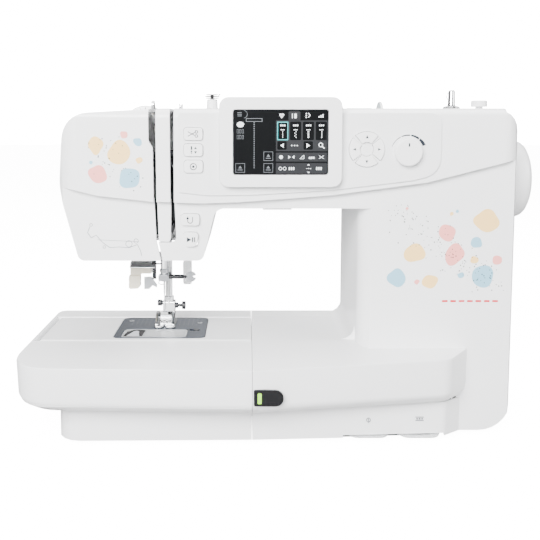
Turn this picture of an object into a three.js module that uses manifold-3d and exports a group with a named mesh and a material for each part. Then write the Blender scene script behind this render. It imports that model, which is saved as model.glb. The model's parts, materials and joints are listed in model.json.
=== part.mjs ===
// A domestic computerised free-arm sewing machine, as an assembly of separate pieces.
// Millimetres, +Z up. +X runs to the handwheel, -Y to the user. The origin is under the middle of
// the machine, on the surface that it stands on.
import * as THREE from "three";
import { mergeVertices } from "three/addons/utils/BufferGeometryUtils.js";
import Module from "manifold-3d";

const wasm = await Module();
wasm.setup();

// ---------------------------------------------------------------- driving dimensions

const GAP = 0.35; // between neighbouring pieces
const WALL = 2.6; // moulded covers
const FAR = 400; // past everything

// The covers.
const COVER_BOTTOM = 4;
const BED_TOP = 76;
const BED_FRONT = -97.5;
const BED_REAR = 85.5;
const ARM_BOTTOM = 193;
const BODY_TOP = 275;
const HEAD_BOTTOM = 149.5;
const HEAD_LEFT = -186;
const COLUMN_LEFT = 63;
const BODY_RIGHT = 192.5;
const BODY_REAR = 97.5;
const ARM_REAR = 75;
const LOWER_FACE = -44.5; // front of the head and the column below the ledge
const BAND_FACE = -50; // front of the arm above the ledge
const PARTING = 62; // plane between the front and the rear covers
const FACE_SEAM = -110.2; // between the face cover and the front cover

// The accessory box round the free arm.
const BOX_LEFT = -219;
const SEAM_X = -26;
const LID_EDGE = 42;
const LID_REAR = -28;
const ARM_FRONT = -24.5;
const ARM_BACK = 57;
const ARM_END = -213;

// The mechanism.
const NEEDLE = { x: -106, y: 20 };
const PRESSER = { x: -102.5, y: 28 };
const SHAFT = { y: 20, z: 213, r: 5 };
const LOWER_SHAFT = { y: 20, z: 44, r: 4 };
const HOOK = { x: -106, y: -1 };
const MOTOR = { y: 48, z: 130, r: 27 };
const TAKE_UP = { y: 10, z: 240 };
const LIFTER = { y: 49.5, z: 168 };

// The controls.
const PANEL = { left: -86, right: 126.7, top: 271, front: -51.6, back: -50.2 };
const BEZEL = { left: -52.6, right: 45.9, bottom: 211.8, top: 283.8, front: -58 };
const SCREEN = { left: -41.2, right: 34.7, bottom: 221.9, top: 273.5 };
const PAD = { x: 66.4, z: 242, inner: 5.8, outer: 14.2 };
const DIAL = { x: 99.7, z: 239.7, r: 11.1 };
const TENSION = { x: -122, z: 257.6, r: 21.2, front: 25, back: 34 };
const BUTTON_BACK = -40;
const UPPER_BUTTONS = [
  ["button_thread_cutter", 249.3, 259.4],
  ["button_needle_position", 236.3, 246.4],
  ["button_reinforcement", 223, 233.1],
];

// On the top and the right end.
const SPOOL = { y: 37, z: 264 };
const TROUGH = { left: 30, right: 122, front: 17, rear: 57, floor: 244.3 };
const WINDER = { x: 154, y: 25 };
const WHEEL = { inner: 193.4, outer: 219, r: 34.6 };
const PLATE = { left: -147.8, right: -67.3, front: -17, rear: 53, top: 76.4, bottom: 74.5 };
const CARD = { width: 41, front: -60, rear: 40, bottom: 4.6, top: 5.8 };
const CARDS = [["guide_card_left", 49.9], ["guide_card_right", 92.3]];

// ---------------------------------------------------------------- closed solids

/** A manifold solid from a closed geometry, its faces turned outwards. */
function solid(geometry) {
  const bare = geometry.index ? geometry.toNonIndexed() : geometry.clone();
  bare.deleteAttribute("normal");
  bare.deleteAttribute("uv");
  const merged = mergeVertices(bare, 1e-4);
  const at = (i) => new THREE.Vector3().fromBufferAttribute(merged.attributes.position, i);
  let triangles = [];
  let volume = 0;
  for (let i = 0; i < merged.index.count; i += 3) {
    const [a, b, c] = [0, 1, 2].map((k) => merged.index.getX(i + k));
    if (a === b || b === c || c === a) continue;
    triangles.push(a, b, c);
    volume += at(a).dot(at(b).cross(at(c)));
  }
  if (volume < 0) triangles = triangles.reverse();
  return new wasm.Manifold(
    new wasm.Mesh({
      numProp: 3,
      vertProperties: new Float32Array(merged.attributes.position.array),
      triVerts: new Uint32Array(triangles),
    }),
  );
}

/** The geometry of a manifold solid. */
function geometryOf(made) {
  const mesh = made.getMesh();
  const positions = new Float32Array(mesh.numVert * 3);
  for (let i = 0; i < mesh.numVert; i++) {
    for (let k = 0; k < 3; k++) positions[3 * i + k] = mesh.vertProperties[i * mesh.numProp + k];
  }
  const geometry = new THREE.BufferGeometry();
  geometry.setAttribute("position", new THREE.BufferAttribute(positions, 3));
  geometry.setIndex(new THREE.BufferAttribute(new Uint32Array(mesh.triVerts), 1));
  const faceted = geometry.toNonIndexed();
  faceted.computeVertexNormals();
  return faceted;
}

const join = (first, ...others) => others.reduce((whole, next) => whole.add(next), first);
const cut = (body, ...tools) => tools.reduce((rest, tool) => rest.subtract(tool), body);
const common = (first, ...others) => others.reduce((part, next) => part.intersect(next), first);

// A drawing's across, up and along turned into X, Y and Z.
const FRAMES = {
  x: new THREE.Matrix4().makeBasis(
    new THREE.Vector3(0, 1, 0), new THREE.Vector3(0, 0, 1), new THREE.Vector3(1, 0, 0)),
  y: new THREE.Matrix4().makeBasis(
    new THREE.Vector3(1, 0, 0), new THREE.Vector3(0, 0, 1), new THREE.Vector3(0, -1, 0)),
  z: new THREE.Matrix4(),
};

/** Stands a geometry, which rises from 0 along its own Z, between two places on an axis. */
function stand(axis, geometry, low, high) {
  geometry.translate(0, 0, axis === "y" ? -high : low);
  return geometry.applyMatrix4(FRAMES[axis]);
}

/** A box between two corners. */
function box(x0, x1, y0, y1, z0, z1) {
  const geometry = new THREE.BoxGeometry(x1 - x0, y1 - y0, z1 - z0);
  return solid(geometry.translate((x0 + x1) / 2, (y0 + y1) / 2, (z0 + z1) / 2));
}

/** A round bar along an axis. The centre is given in the other two axes, in order. */
function rod(axis, low, high, centre, radius, sides = 12) {
  const geometry = new THREE.CylinderGeometry(radius, radius, high - low, sides);
  geometry.rotateX(Math.PI / 2).translate(centre[0], centre[1], (high - low) / 2);
  return solid(stand(axis, geometry, low, high));
}

/** A body of revolution about an axis, from [radius, place along the axis] pairs. */
function turned(axis, centre, profile, sides = 18) {
  const points = profile.map(([radius, place]) => new THREE.Vector2(radius, place));
  const geometry = new THREE.LatheGeometry([...points, points[0]], sides);
  geometry.rotateX(Math.PI / 2);
  if (axis === "y") geometry.rotateX(Math.PI);
  return solid(geometry.translate(centre[0], centre[1], 0).applyMatrix4(FRAMES[axis]));
}

/** A flat plate with the given outline between two places on an axis. */
function plate(axis, outline, low, high) {
  const points = outline.map((p) => (p.isVector2 ? p : new THREE.Vector2(p[0], p[1])));
  const settings = { depth: high - low, bevelEnabled: false };
  return solid(stand(axis, new THREE.ExtrudeGeometry(new THREE.Shape(points), settings), low, high));
}

/** A closed solid through rings of the same number of points, each as [height, points]. */
function lofted(rings) {
  const count = rings[0][1].length;
  const positions = rings.flatMap(([z, ring]) => ring.flatMap((p) => [p.x, p.y, z]));
  const index = [];
  for (let r = 0; r + 1 < rings.length; r++) {
    for (let i = 0; i < count; i++) {
      const a = r * count + i;
      const b = r * count + ((i + 1) % count);
      index.push(a, b, b + count, a, b + count, a + count);
    }
  }
  const top = (rings.length - 1) * count;
  for (const [a, b, c] of THREE.ShapeUtils.triangulateShape(rings[0][1], [])) index.push(c, b, a);
  for (const [a, b, c] of THREE.ShapeUtils.triangulateShape(rings.at(-1)[1], [])) {
    index.push(top + a, top + b, top + c);
  }
  const geometry = new THREE.BufferGeometry();
  geometry.setAttribute("position", new THREE.Float32BufferAttribute(positions, 3));
  geometry.setIndex(index);
  return solid(geometry);
}

/** The points of a polygon whose corners, as [across, up, radius], are rounded. */
function rounded(corners, steps = 4) {
  const points = [];
  corners.forEach(([x, y, radius = 0], i) => {
    const here = new THREE.Vector2(x, y);
    const before = new THREE.Vector2(corners.at(i - 1)[0], corners.at(i - 1)[1]);
    const next = corners[(i + 1) % corners.length];
    const arriving = here.clone().sub(before).normalize();
    const leaving = new THREE.Vector2(next[0], next[1]).sub(here).normalize();
    const turn = Math.atan2(arriving.cross(leaving), arriving.dot(leaving));
    if (radius === 0) {
      points.push(here);
      return;
    }
    const start = here.clone().addScaledVector(arriving, -radius * Math.tan(Math.abs(turn) / 2));
    const side = new THREE.Vector2(-arriving.y, arriving.x);
    const centre = start.clone().addScaledVector(side, Math.sign(turn) * radius);
    for (let k = 0; k <= steps; k++) {
      points.push(start.clone().rotateAround(centre, (turn * k) / steps));
    }
  });
  return points;
}

/** A rectangle's outline with rounded corners. */
function softBox(left, right, bottom, top, radius, steps = 3) {
  const corners = [[left, bottom, radius], [right, bottom, radius], [right, top, radius]];
  return rounded([...corners, [left, top, radius]], steps);
}

/** An anticlockwise outline moved inwards. */
function inset(points, distance) {
  return points.map((here, i) => {
    const arriving = here.clone().sub(points.at(i - 1)).normalize();
    const leaving = points[(i + 1) % points.length].clone().sub(here).normalize();
    const bisector = new THREE.Vector2(-arriving.y - leaving.y, arriving.x + leaving.x).normalize();
    const stretch = Math.max(0.4, bisector.x * -arriving.y + bisector.y * arriving.x);
    return here.clone().addScaledVector(bisector, distance / stretch);
  });
}

/** Everything on one side of a plane across an axis. */
function beyond(axis, place, side) {
  const ranges = { x: [-FAR, FAR], y: [-FAR, FAR], z: [-FAR, FAR] };
  ranges[axis] = side > 0 ? [place, FAR] : [-FAR, place];
  return box(...ranges.x, ...ranges.y, ...ranges.z);
}

// ---------------------------------------------------------------- materials

const material = (name, color, roughness, metalness = 0, opacity = 1) => {
  const settings = { name, color, roughness, metalness, opacity, transparent: opacity < 1 };
  return new THREE.MeshStandardMaterial(settings);
};
const WHITE = material("white_plastic", 0xf2f3f4, 0.3);
const PANEL_WHITE = material("panel_plastic", 0xe9ecef, 0.35);
const KEY_WHITE = material("key_plastic", 0xf7f7f7, 0.4);
const DARK = material("dark_plastic", 0x22252a, 0.4);
const BLACK_GLOSS = material("black_gloss", 0x101214, 0.1);
const SCREEN_GLASS = material("screen_glass", 0x1c2b33, 0.1);
const CLEAR = material("clear_plastic", 0xdfe6ea, 0.15, 0, 0.6);
const CHROME = material("chrome", 0xd8dbde, 0.12, 1);
const STEEL = material("steel", 0x9aa0a6, 0.35, 1);
const PLATE_STEEL = material("plate_steel", 0x5f6e80, 0.4, 1);
const CAST = material("cast_alloy", 0x8d9196, 0.6, 1);
const RUBBER = material("rubber", 0x1c1c1e, 0.9);
const BOARD = material("circuit_board", 0x1f5a3c, 0.6);
const THREAD = material("thread", 0x1aa6a6, 0.8);
const CREAM = material("cream_plastic", 0xece2c6, 0.45);

const group = new THREE.Group();
group.name = "sewing_machine";

/** Adds one piece to the machine. */
function add(name, look, made) {
  const mesh = new THREE.Mesh(geometryOf(made), look);
  mesh.name = name;
  group.add(mesh);
}

// ---------------------------------------------------------------- the outside of the body

/** The head and the arm, smaller all round by a margin. */
function armBody(margin) {
  const front = rounded([
    [180, ARM_BOTTOM], [180, BODY_TOP], [-100, BODY_TOP, 60], [-180, 270.5, 24],
    [HEAD_LEFT, 212, 40], [-169.5, HEAD_BOTTOM, 6], [-67, HEAD_BOTTOM, 6], [-56, ARM_BOTTOM, 9],
  ], 8);
  const section = rounded([
    [BAND_FACE, 100], [ARM_REAR, 100], [ARM_REAR, BODY_TOP, 14], [BAND_FACE, BODY_TOP, 8],
  ]);
  const plan = rounded([
    [HEAD_LEFT - 1, BAND_FACE, 18], [200, BAND_FACE], [200, ARM_REAR], [HEAD_LEFT - 1, ARM_REAR, 18],
  ]);
  return common(
    plate("y", inset(front, margin), -FAR, FAR),
    plate("x", inset(section, margin), -FAR, FAR),
    plate("z", inset(plan, margin), -FAR, FAR),
  );
}

/** The column, smaller all round by a margin. */
function columnBody(margin) {
  const plan = rounded([
    [COLUMN_LEFT, BAND_FACE, 24], [BODY_RIGHT, BAND_FACE, 14],
    [BODY_RIGHT, BODY_REAR, 20], [COLUMN_LEFT, BODY_REAR, 14],
  ], 5);
  const front = rounded([
    [COLUMN_LEFT, COVER_BOTTOM], [BODY_RIGHT, COVER_BOTTOM, 27],
    [BODY_RIGHT, BODY_TOP, 24], [COLUMN_LEFT, BODY_TOP],
  ], 7);
  const side = rounded([
    [BAND_FACE - 9, -20], [BODY_REAR + 9, -20], [BODY_REAR, BODY_TOP, 16], [BAND_FACE, BODY_TOP, 8],
  ]);
  return common(
    plate("z", inset(plan, margin), -FAR, FAR),
    plate("y", inset(front, margin), -FAR, FAR),
    plate("x", inset(side, margin), -FAR, FAR),
  );
}

/** Everything in front of the lower face and under the sweeping ledge. */
function underLedge(margin) {
  const ledge = [
    [-220, 216], [-176.5, 209.8], [-152, 204], [-107, 199], [-70, 197.8], [-38, 198.7],
    [38, 204.4], [116, 214.8], [186, 232.7], [230, 244],
  ];
  const outline = [...ledge.map(([x, z]) => [x, z + margin]), [230, -50], [-220, -50]];
  return plate("y", outline, -FAR, LOWER_FACE + margin);
}

/** The wide bed's plan. Its front and left edges come in by a distance, and its rear by a wall. */
function bedPlan(distance, wall = 0) {
  const rear = BED_REAR - Math.min(distance, 4) - wall;
  return rounded([
    [BOX_LEFT + distance, rear, 8],
    [BOX_LEFT + 1 + distance, -91 + distance, 33 - 0.4 * distance],
    [SEAM_X, BED_FRONT + distance, 60],
    [134 - 0.3 * distance, -72 + distance, 18],
    [165, -30],
    [165, rear],
  ], 7);
}

/** The plinth's plan under the wide bed. */
function plinthPlan(margin) {
  return rounded([
    [-187 + margin, 82.5 - margin, 8],
    [-187 + margin, -67.5 + margin, 20],
    [SEAM_X, -65 + margin, 60],
    [134, -56 + margin, 8],
    [163, -34],
    [163, 82.5 - margin],
  ]);
}

/** The bed, whose front slopes down and whose lower edge curls under to the plinth. */
function bedBody() {
  const curl = [[31, 27], [32.5, 18], [36, 9], [40.5, 3], [46, 0.8], [72, 0], [74.8, 0.8], [76, 2.4]];
  const slope = [[-120, 71.8], [-24, BED_TOP], [-24, 90], [-120, 90]];
  const wide = lofted(curl.map(([z, distance]) => [z, bedPlan(distance)]));
  return join(cut(wide, plate("x", slope, -FAR, FAR)), plate("z", plinthPlan(0), COVER_BOTTOM, 33));
}

/** The room inside the bed, open at the bottom. */
function bedRoom() {
  const curl = [[33.6, 30], [35, 21], [38.2, 12], [42, 6], [47, 3.4], [72, WALL], [73.4, WALL]];
  const slope = [[-120, 69.2], [-24, BED_TOP - WALL], [-24, 90], [-120, 90]];
  const wide = lofted(curl.map(([z, distance]) => [z, bedPlan(distance, WALL)]));
  return join(cut(wide, plate("x", slope, -FAR, FAR)), plate("z", plinthPlan(WALL), -50, 36));
}

/** A rounded corner where the column rises from the bed. */
function columnFillet() {
  const r = 12;
  const arc = [];
  for (let k = 0; k <= 4; k++) {
    const a = (Math.PI / 2) * (k / 4);
    arc.push([COLUMN_LEFT - r + r * Math.sin(a), BED_TOP + r - r * Math.cos(a)]);
  }
  return plate("y", [...arc, [COLUMN_LEFT + 1, 88], [COLUMN_LEFT + 1, 74], [51, 74]], -20, 80);
}

/** The body to the right of the accessory box, in one piece. */
function bodySolid() {
  const upper = cut(join(armBody(0), columnBody(0)), underLedge(0));
  const base = common(bedBody(), beyond("x", SEAM_X, 1));
  return join(upper, base, columnFillet());
}

/** The room inside it. */
function bodyRoom() {
  const upper = cut(join(armBody(WALL), columnBody(WALL)), underLedge(WALL));
  const base = common(bedRoom(), beyond("x", SEAM_X + WALL, 1), beyond("x", 146, -1));
  const underneath = box(COLUMN_LEFT + WALL, 163, LOWER_FACE + WALL, BODY_REAR - 6, -50, 60);
  const trough = box(
    TROUGH.left - WALL, TROUGH.right + WALL, TROUGH.front - WALL, TROUGH.rear + WALL,
    TROUGH.floor - WALL, FAR,
  );
  return cut(join(upper, base, underneath), trough);
}

// ---------------------------------------------------------------- holes in the covers

/** A button's outline, with a margin all round. */
function buttonOutline(bottom, top, margin = 0) {
  return softBox(-81.3 - margin, -66 + margin, bottom - margin, top + margin, 2.2 + margin);
}

const reverseOutline = (margin = 0) =>
  softBox(-84.9 - margin, -69.3 + margin, 179.2 - margin, 188.8 + margin, 2.6 + margin);

const startOutline = (margin = 0) =>
  rounded([
    [-81.5 - margin, 161.6 - margin, 3 + margin],
    [-72 + margin, 161.6 - margin, 3 + margin],
    [-70 + margin, 173.5 + margin, 2.6 + margin],
    [-83.5 - margin, 173.5 + margin, 2.6 + margin],
  ], 4);

/** One key's outline in the ring, facing a direction. */
function arrowOutline(turn, margin = 0) {
  const outline = [];
  const reach = Math.PI / 4 - 0.1;
  const steps = 6;
  for (let k = 0; k <= steps; k++) {
    const a = turn - reach - margin * 0.07 + ((reach + margin * 0.07) * 2 * k) / steps;
    outline.push(new THREE.Vector2(Math.cos(a), Math.sin(a)).multiplyScalar(PAD.outer + margin));
  }
  for (let k = steps; k >= 0; k -= 2) {
    const a = turn - reach - margin * 0.07 + ((reach + margin * 0.07) * 2 * k) / steps;
    outline.push(new THREE.Vector2(Math.cos(a), Math.sin(a)).multiplyScalar(PAD.inner - margin));
  }
  return outline.map((p) => p.add(new THREE.Vector2(PAD.x, PAD.z)));
}

const ARROWS = [0, 90, 180, 270];

/** Openings for the display and the controls in the front of the arm. */
function controlOpenings() {
  const display = plate("y", softBox(-48, 41.5, 216, 270, 4), -70, -30);
  const pad = rod("y", -70, -30, [PAD.x, PAD.z], PAD.outer + 1);
  const dial = rod("y", -70, -30, [DIAL.x, DIAL.z], 5);
  const upper = UPPER_BUTTONS.map(([, z0, z1]) => plate("y", buttonOutline(z0, z1, GAP), -70, -30));
  return join(display, pad, dial, ...upper);
}

/** Openings for the two keys on the front of the head. */
function headOpenings() {
  return join(
    plate("y", reverseOutline(GAP), -70, -30),
    plate("y", startOutline(GAP), -70, -30),
  );
}

/** Openings in the right-hand wall, for the shaft, the switch and the sockets. */
function rightOpenings() {
  return join(
    rod("x", 180, 200, [SHAFT.y, SHAFT.z], SHAFT.r + 2),
    box(180, 200, 4.65, 25.35, 79.65, 100.35),
    box(180, 200, 1.65, 28.35, 43.65, 66.35),
    rod("x", 180, 200, [46, 55], 6.35),
  );
}

/** Openings in the top, for the winder, its stop, the guides and the tension dial. */
function topOpenings() {
  return join(
    box(WINDER.x - 4, WINDER.x + 9, WINDER.y - 4, WINDER.y + 4, 265, 290),
    rod("z", 265, 290, [179, 25], 3.55),
    box(-141, -103, TENSION.front - 1, TENSION.back + 1, 262, 290),
    box(TROUGH.left, TROUGH.right, TROUGH.front, TROUGH.rear, TROUGH.floor, 290),
    rod("z", 265, 290, [-60.8, 6], 3.35),
  );
}

/** The open underside of the head, round the needle and presser bars. */
const headUnderside = () => join(box(-146, -76, -14, 66, 140, 158), box(-99, -87, 60, 90, 140, 186));

/** The mouth of the free arm and the slots and pockets of the base. */
function baseOpenings() {
  return join(
    box(SEAM_X - 9, SEAM_X + 9, -19, 51.5, 38, 70.5),
    box(SEAM_X - 9, SEAM_X + 9, -12.6, 44.6, -20, 9.3),
    box(49, 134, -80, -20, -20, 6.3),
    plate("y", statusOutline(0.3), -99, -94.7),
    box(-17.35, 7.35, -35.35, -4.65, 188, 198),
  );
}

const statusOutline = (margin = 0) =>
  rounded([
    [-24.9 - margin, 44.5 - margin, 1 + margin], [-1.9 + margin, 44.5 - margin, 6 + margin],
    [-1.9 + margin, 57.4 + margin, 6 + margin], [-24.9 - margin, 57.4 + margin, 1 + margin],
  ], 4);

// ---------------------------------------------------------------- the covers

// The threading slots divide the front of the head into three.
const FACE_REGION = [
  [-250, 100], [-101.5, 100], [-101.5, 149], [-105.2, 166], [-106.6, 200], [-106.8, 243],
  [FACE_SEAM, 249], [FACE_SEAM, 300], [-250, 300],
];
const STRIP_REGION = [
  [-104.4, 300], [-104.4, 243], [-104.2, 200], [-103.2, 167], [-102.9, 165.2], [-94.6, 165.2],
  [-93.2, 168.4], [-92.8, 200], [-92.8, 300],
];
const FRONT_REGION = [
  [-89.5, 300], [-89.9, 200], [-88.8, 168], [-90.4, 165.6], [-94, 164.7], [-103.4, 164.7],
  [-100.1, 149], [-100.1, 100], [250, 100], [250, 300],
];
const SLOT_DEPTH = -8; // how far back the slots run along the top

/** The part of a region in front, and everything to one side of the face seam behind it. */
function coverRegion(region, side) {
  const front = plate("y", region, -FAR, SLOT_DEPTH);
  const place = side > 0 ? FACE_SEAM + GAP : FACE_SEAM;
  return join(front, common(beyond("x", place, side), beyond("y", SLOT_DEPTH, 1)));
}

/** The pair of lugs on each side of the carry handle's ends. */
function handleLugs() {
  const lugs = [-48, 42].map((x) => cut(
    box(x - 7.5, x + 7.5, 74, 86.5, 252, 266),
    box(x - 4.4, x + 4.4, 75, 100, 240, 280),
  ));
  return join(...lugs);
}

const frontHalf = () => beyond("y", PARTING, -1);
const rearHalf = () => beyond("y", PARTING + GAP, 1);

function covers() {
  const body = bodySolid();
  const shell = cut(body, bodyRoom());
  const upper = beyond("z", 100, 1);
  const lower = beyond("z", 100, -1);
  const head = common(shell, upper);
  const base = cut(common(shell, lower), baseOpenings());
  const openHead = cut(head, headUnderside(), topOpenings(), baseOpenings());
  const frontHead = common(cut(openHead, controlOpenings(), headOpenings()), frontHalf());
  const frontCover = join(common(frontHead, coverRegion(FRONT_REGION, 1)), common(base, frontHalf()));
  add("front_cover", WHITE, cut(frontCover, rightOpenings()));
  const face = common(frontHead, coverRegion(FACE_REGION, -1));
  add("face_cover", WHITE, face);
  const strip = common(frontHead, plate("y", STRIP_REGION, -FAR, SLOT_DEPTH - GAP));
  add("thread_channel_cover", WHITE, strip);
  const rear = join(common(openHead, rearHalf()), common(base, rearHalf()), handleLugs());
  add("rear_cover", WHITE, rear);
}

// ---------------------------------------------------------------- the free arm and its box

/** The free arm from the front; its right end at a given place. */
function armOutline(right) {
  return rounded([
    [right, 26], [right, BED_TOP], [ARM_END, BED_TOP, 4], [-205, 47.5, 16], [-180, 36, 20],
    [-150, 28, 20],
  ]);
}

function freeArm() {
  const section = (margin) => plate("x", inset(rounded([
    [ARM_FRONT, 10], [ARM_BACK, 10], [ARM_BACK, BED_TOP, 4], [ARM_FRONT, BED_TOP, 4],
  ]), margin), -FAR, FAR);
  const outer = common(plate("y", armOutline(SEAM_X - GAP), -FAR, FAR), section(0));
  const room = common(plate("y", inset(armOutline(20), WALL), -FAR, FAR), section(WALL));
  const recess = plate("z", softBox(
    PLATE.left - GAP, PLATE.right + GAP, PLATE.front - GAP, PLATE.rear + GAP, 6), 74.2, 90);
  const mouth = box(PLATE.left + 4, PLATE.right - 4, PLATE.front + 4, PLATE.rear - 4, 60, 90);
  add("free_arm_cover", WHITE, cut(outer, room, recess, mouth));
}

/** Everything the accessory box has to leave free for the arm and the base under it. */
function armChannel() {
  const outline = [
    [-213.6, 90], [-213.6, 75], [-206.2, 45.6], [-181, 34.8], [-181, -20], [20, -20], [20, 90],
  ];
  return plate("y", outline, ARM_FRONT - GAP, ARM_BACK + GAP);
}

function accessoryBox() {
  const left = beyond("x", SEAM_X - GAP, -1);
  const outer = common(bedBody(), left);
  const room = common(bedRoom(), beyond("x", SEAM_X - GAP - WALL, -1));
  const aboveLid = box(-FAR, FAR, -FAR, LID_REAR + GAP, LID_EDGE, FAR);
  const tray = common(room, box(-FAR, FAR, -FAR, LID_REAR + GAP, COVER_BOTTOM + WALL, FAR));
  const rearRoom = common(room, box(-200, FAR, ARM_BACK + 3, FAR, -FAR, FAR));
  add("accessory_box", WHITE, cut(outer, armChannel(), tray, aboveLid, rearRoom));
  const lidRegion = box(-FAR, FAR, -FAR, LID_REAR, LID_EDGE + GAP, FAR);
  add("accessory_lid", WHITE, cut(common(outer, lidRegion), room));
}

// ---------------------------------------------------------------- the needle plate and the hook

const FEED_ROWS = [-113, -109.2, -102.8, -99];

/** The outline of the sliding cover over the bobbin, with a margin. */
function coverOutline(margin) {
  return softBox(-141 - margin, -84 + margin, -15 - margin, 10.8 + margin, 4, 3);
}

function needlePlate() {
  const outline = softBox(PLATE.left, PLATE.right, PLATE.front, PLATE.rear, 6);
  const top = plate("z", outline, PLATE.bottom, PLATE.top);
  const seat = plate("z", coverOutline(GAP), 75.2, 90);
  const mouth = plate("z", softBox(-139, -86, -13.6, 9.9, 4, 3), 60, 90);
  const slot = softBox(NEEDLE.x - 4, NEEDLE.x + 4, NEEDLE.y - 1, NEEDLE.y + 1, 0.9, 3);
  const feedSlots = FEED_ROWS.map((x) => box(x - 1.4, x + 1.4, 23, 41, 60, 90));
  const latch = box(-82.2, -73.4, 5.5, 12.1, 60, 90);
  add("needle_plate", PLATE_STEEL, cut(top, seat, mouth, plate("z", slot, 60, 90), latch, ...feedSlots));
  add("bobbin_cover", CLEAR, plate("z", coverOutline(0), 75.4, 76.3));
}

function bobbinLatch() {
  const ridge = box(-78.4, -77.4, 5.9, 11.7, 74.8, 77.3);
  add("bobbin_cover_latch", DARK, join(box(-78.4, -74, 5.9, 11.7, 74.8, 76.9), ridge));
}

function feedDogs() {
  const rows = FEED_ROWS.map((x) => box(x - 1, x + 1, 23.6, 40.4, 70, 75.9));
  add("feed_dogs", STEEL, join(box(-114, -98, 23.6, 40.4, 68, 71), ...rows));
}

function hook() {
  const centre = [HOOK.x, HOOK.y];
  const cup = turned("z", centre, [
    [0, 36.5], [9, 36.5], [9, 48], [4, 48], [4, 55.5], [17, 55.5], [19, 58], [19, 70.5], [17.8, 70.5],
    [17.8, 58.8], [16, 57], [0, 57],
  ]);
  const wedge = [[HOOK.x, HOOK.y], [HOOK.x + 30, HOOK.y - 5], [HOOK.x + 30, HOOK.y + 9]];
  add("rotary_hook", STEEL, cut(cup, plate("z", wedge, 62, 67)));
  add("bobbin_case", DARK, turned("z", centre, [
    [0, 57.4], [15.4, 57.4], [17.3, 59.3], [17.3, 71.4], [16, 71.4], [16, 60], [14.6, 58.6], [2, 58.6],
    [2, 64], [0, 64],
  ]));
  add("bobbin", CLEAR, turned("z", centre, [
    [2.6, 59], [10.2, 59], [10.2, 60.2], [4.4, 60.2], [4.4, 69.2], [10.2, 69.2], [10.2, 70.4], [2.6, 70.4],
  ]));
}

function lowerShaft() {
  const centre = [LOWER_SHAFT.y, LOWER_SHAFT.z];
  add("lower_shaft", STEEL, turned("x", centre, [
    [0, -118], [4, -118], [4, -112], [9.2, -112], [9.2, -100], [4, -100], [4, 148], [15, 148],
    [15, 149], [13, 149], [13, 157], [15, 157], [15, 158], [4, 158], [4, 160], [0, 160],
  ], 14));
}

// ---------------------------------------------------------------- the drive in the arm

function drive() {
  const centre = [SHAFT.y, SHAFT.z];
  const shaft = turned("x", centre, [
    [0, -92], [13.5, -92], [13.5, -87.4], [8, -87.4], [8, -80], [SHAFT.r, -80], [SHAFT.r, 147.6],
    [15, 147.6], [15, 148.8], [13, 148.8], [13, 157], [15, 157], [15, 158], [26, 158], [26, 159],
    [24, 159], [24, 169], [26, 169], [26, 170], [SHAFT.r, 170], [SHAFT.r, 214], [0, 214],
  ], 16);
  add("main_shaft", STEEL, join(shaft, rod("x", -97, -91.5, [SHAFT.y, SHAFT.z + 11], 2.4, 12)));
  add("handwheel", WHITE, turned("x", centre, [
    [5.3, 195], [16, 195], [16, 198], [30, 198], [31, WHEEL.inner], [33.4, WHEEL.inner], [WHEEL.r, 196],
    [WHEEL.r, 209], [33.4, 213.4], [29.6, 216.6], [22, 218.3], [10, WHEEL.outer], [0, WHEEL.outer],
    [0, 214.6], [5.3, 214.6],
  ], 24));
  add("motor_housing", CAST, turned("x", [MOTOR.y, MOTOR.z], [
    [0, 105], [10, 105], [10, 108], [MOTOR.r - 3, 108], [MOTOR.r, 111], [MOTOR.r, 143], [MOTOR.r - 3, 146],
    [8, 146], [8, 150], [0, 150],
  ], 18));
  add("motor_pulley", DARK, turned("x", [MOTOR.y, MOTOR.z], [
    [0, 150.4], [9, 150.4], [9, 158.4], [14, 158.4], [14, 159.2], [12, 159.2], [12, 168.6],
    [14, 168.6], [14, 169.6], [0, 169.6],
  ], 14));
}

/** The belt that turns the lower shaft, round two equal pulleys one above the other. */
function timingBelt() {
  const steps = 12;
  const outline = (radius) => {
    const points = [];
    for (let k = 0; k <= steps; k++) {
      const a = (Math.PI * k) / steps;
      points.push([SHAFT.y + radius * Math.cos(a), SHAFT.z + radius * Math.sin(a)]);
    }
    for (let k = 0; k <= steps; k++) {
      const a = Math.PI + (Math.PI * k) / steps;
      points.push([LOWER_SHAFT.y + radius * Math.cos(a), LOWER_SHAFT.z + radius * Math.sin(a)]);
    }
    return points;
  };
  const outer = plate("x", outline(14.8), 149.4, 156.6);
  add("timing_belt", RUBBER, cut(outer, plate("x", outline(13.4), 140, 166)));
}

/** The cast frame that carries the shafts and the bars. */
function machineFrame() {
  const front = 34;
  const back = 42;
  const web = plate("y", rounded([
    [-20, 12], [128, 12], [128, 30], [104, 30, 8], [104, 238], [-116, 238], [-116, 160], [-100, 160],
    [-80, 202, 12], [84, 202, 12], [84, 56, 8], [-20, 56],
  ], 3), front, back);
  const bearing = (x, z) => box(x - 4, x + 4, 10, front + 1, z - 9, z + 9);
  const bearings = [[-72, SHAFT.z], [94, SHAFT.z], [-14, LOWER_SHAFT.z], [94, LOWER_SHAFT.z]];
  const barGuides = [165, 224].map((z) => box(-114, -97.4, 13, front + 1, z, z + 7));
  add("machine_frame", CAST, cut(
    join(web, ...bearings.map(([x, z]) => bearing(x, z)), ...barGuides),
    rod("x", -80, 120, [SHAFT.y, SHAFT.z], SHAFT.r + GAP),
    rod("x", -40, 120, [LOWER_SHAFT.y, LOWER_SHAFT.z], LOWER_SHAFT.r + GAP),
    rod("z", 150, 250, [NEEDLE.x, NEEDLE.y], 3.2 + GAP),
    rod("z", 150, 250, [PRESSER.x, PRESSER.y], 3.2 + GAP),
  ));
}

// ---------------------------------------------------------------- needle, presser and levers

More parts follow.
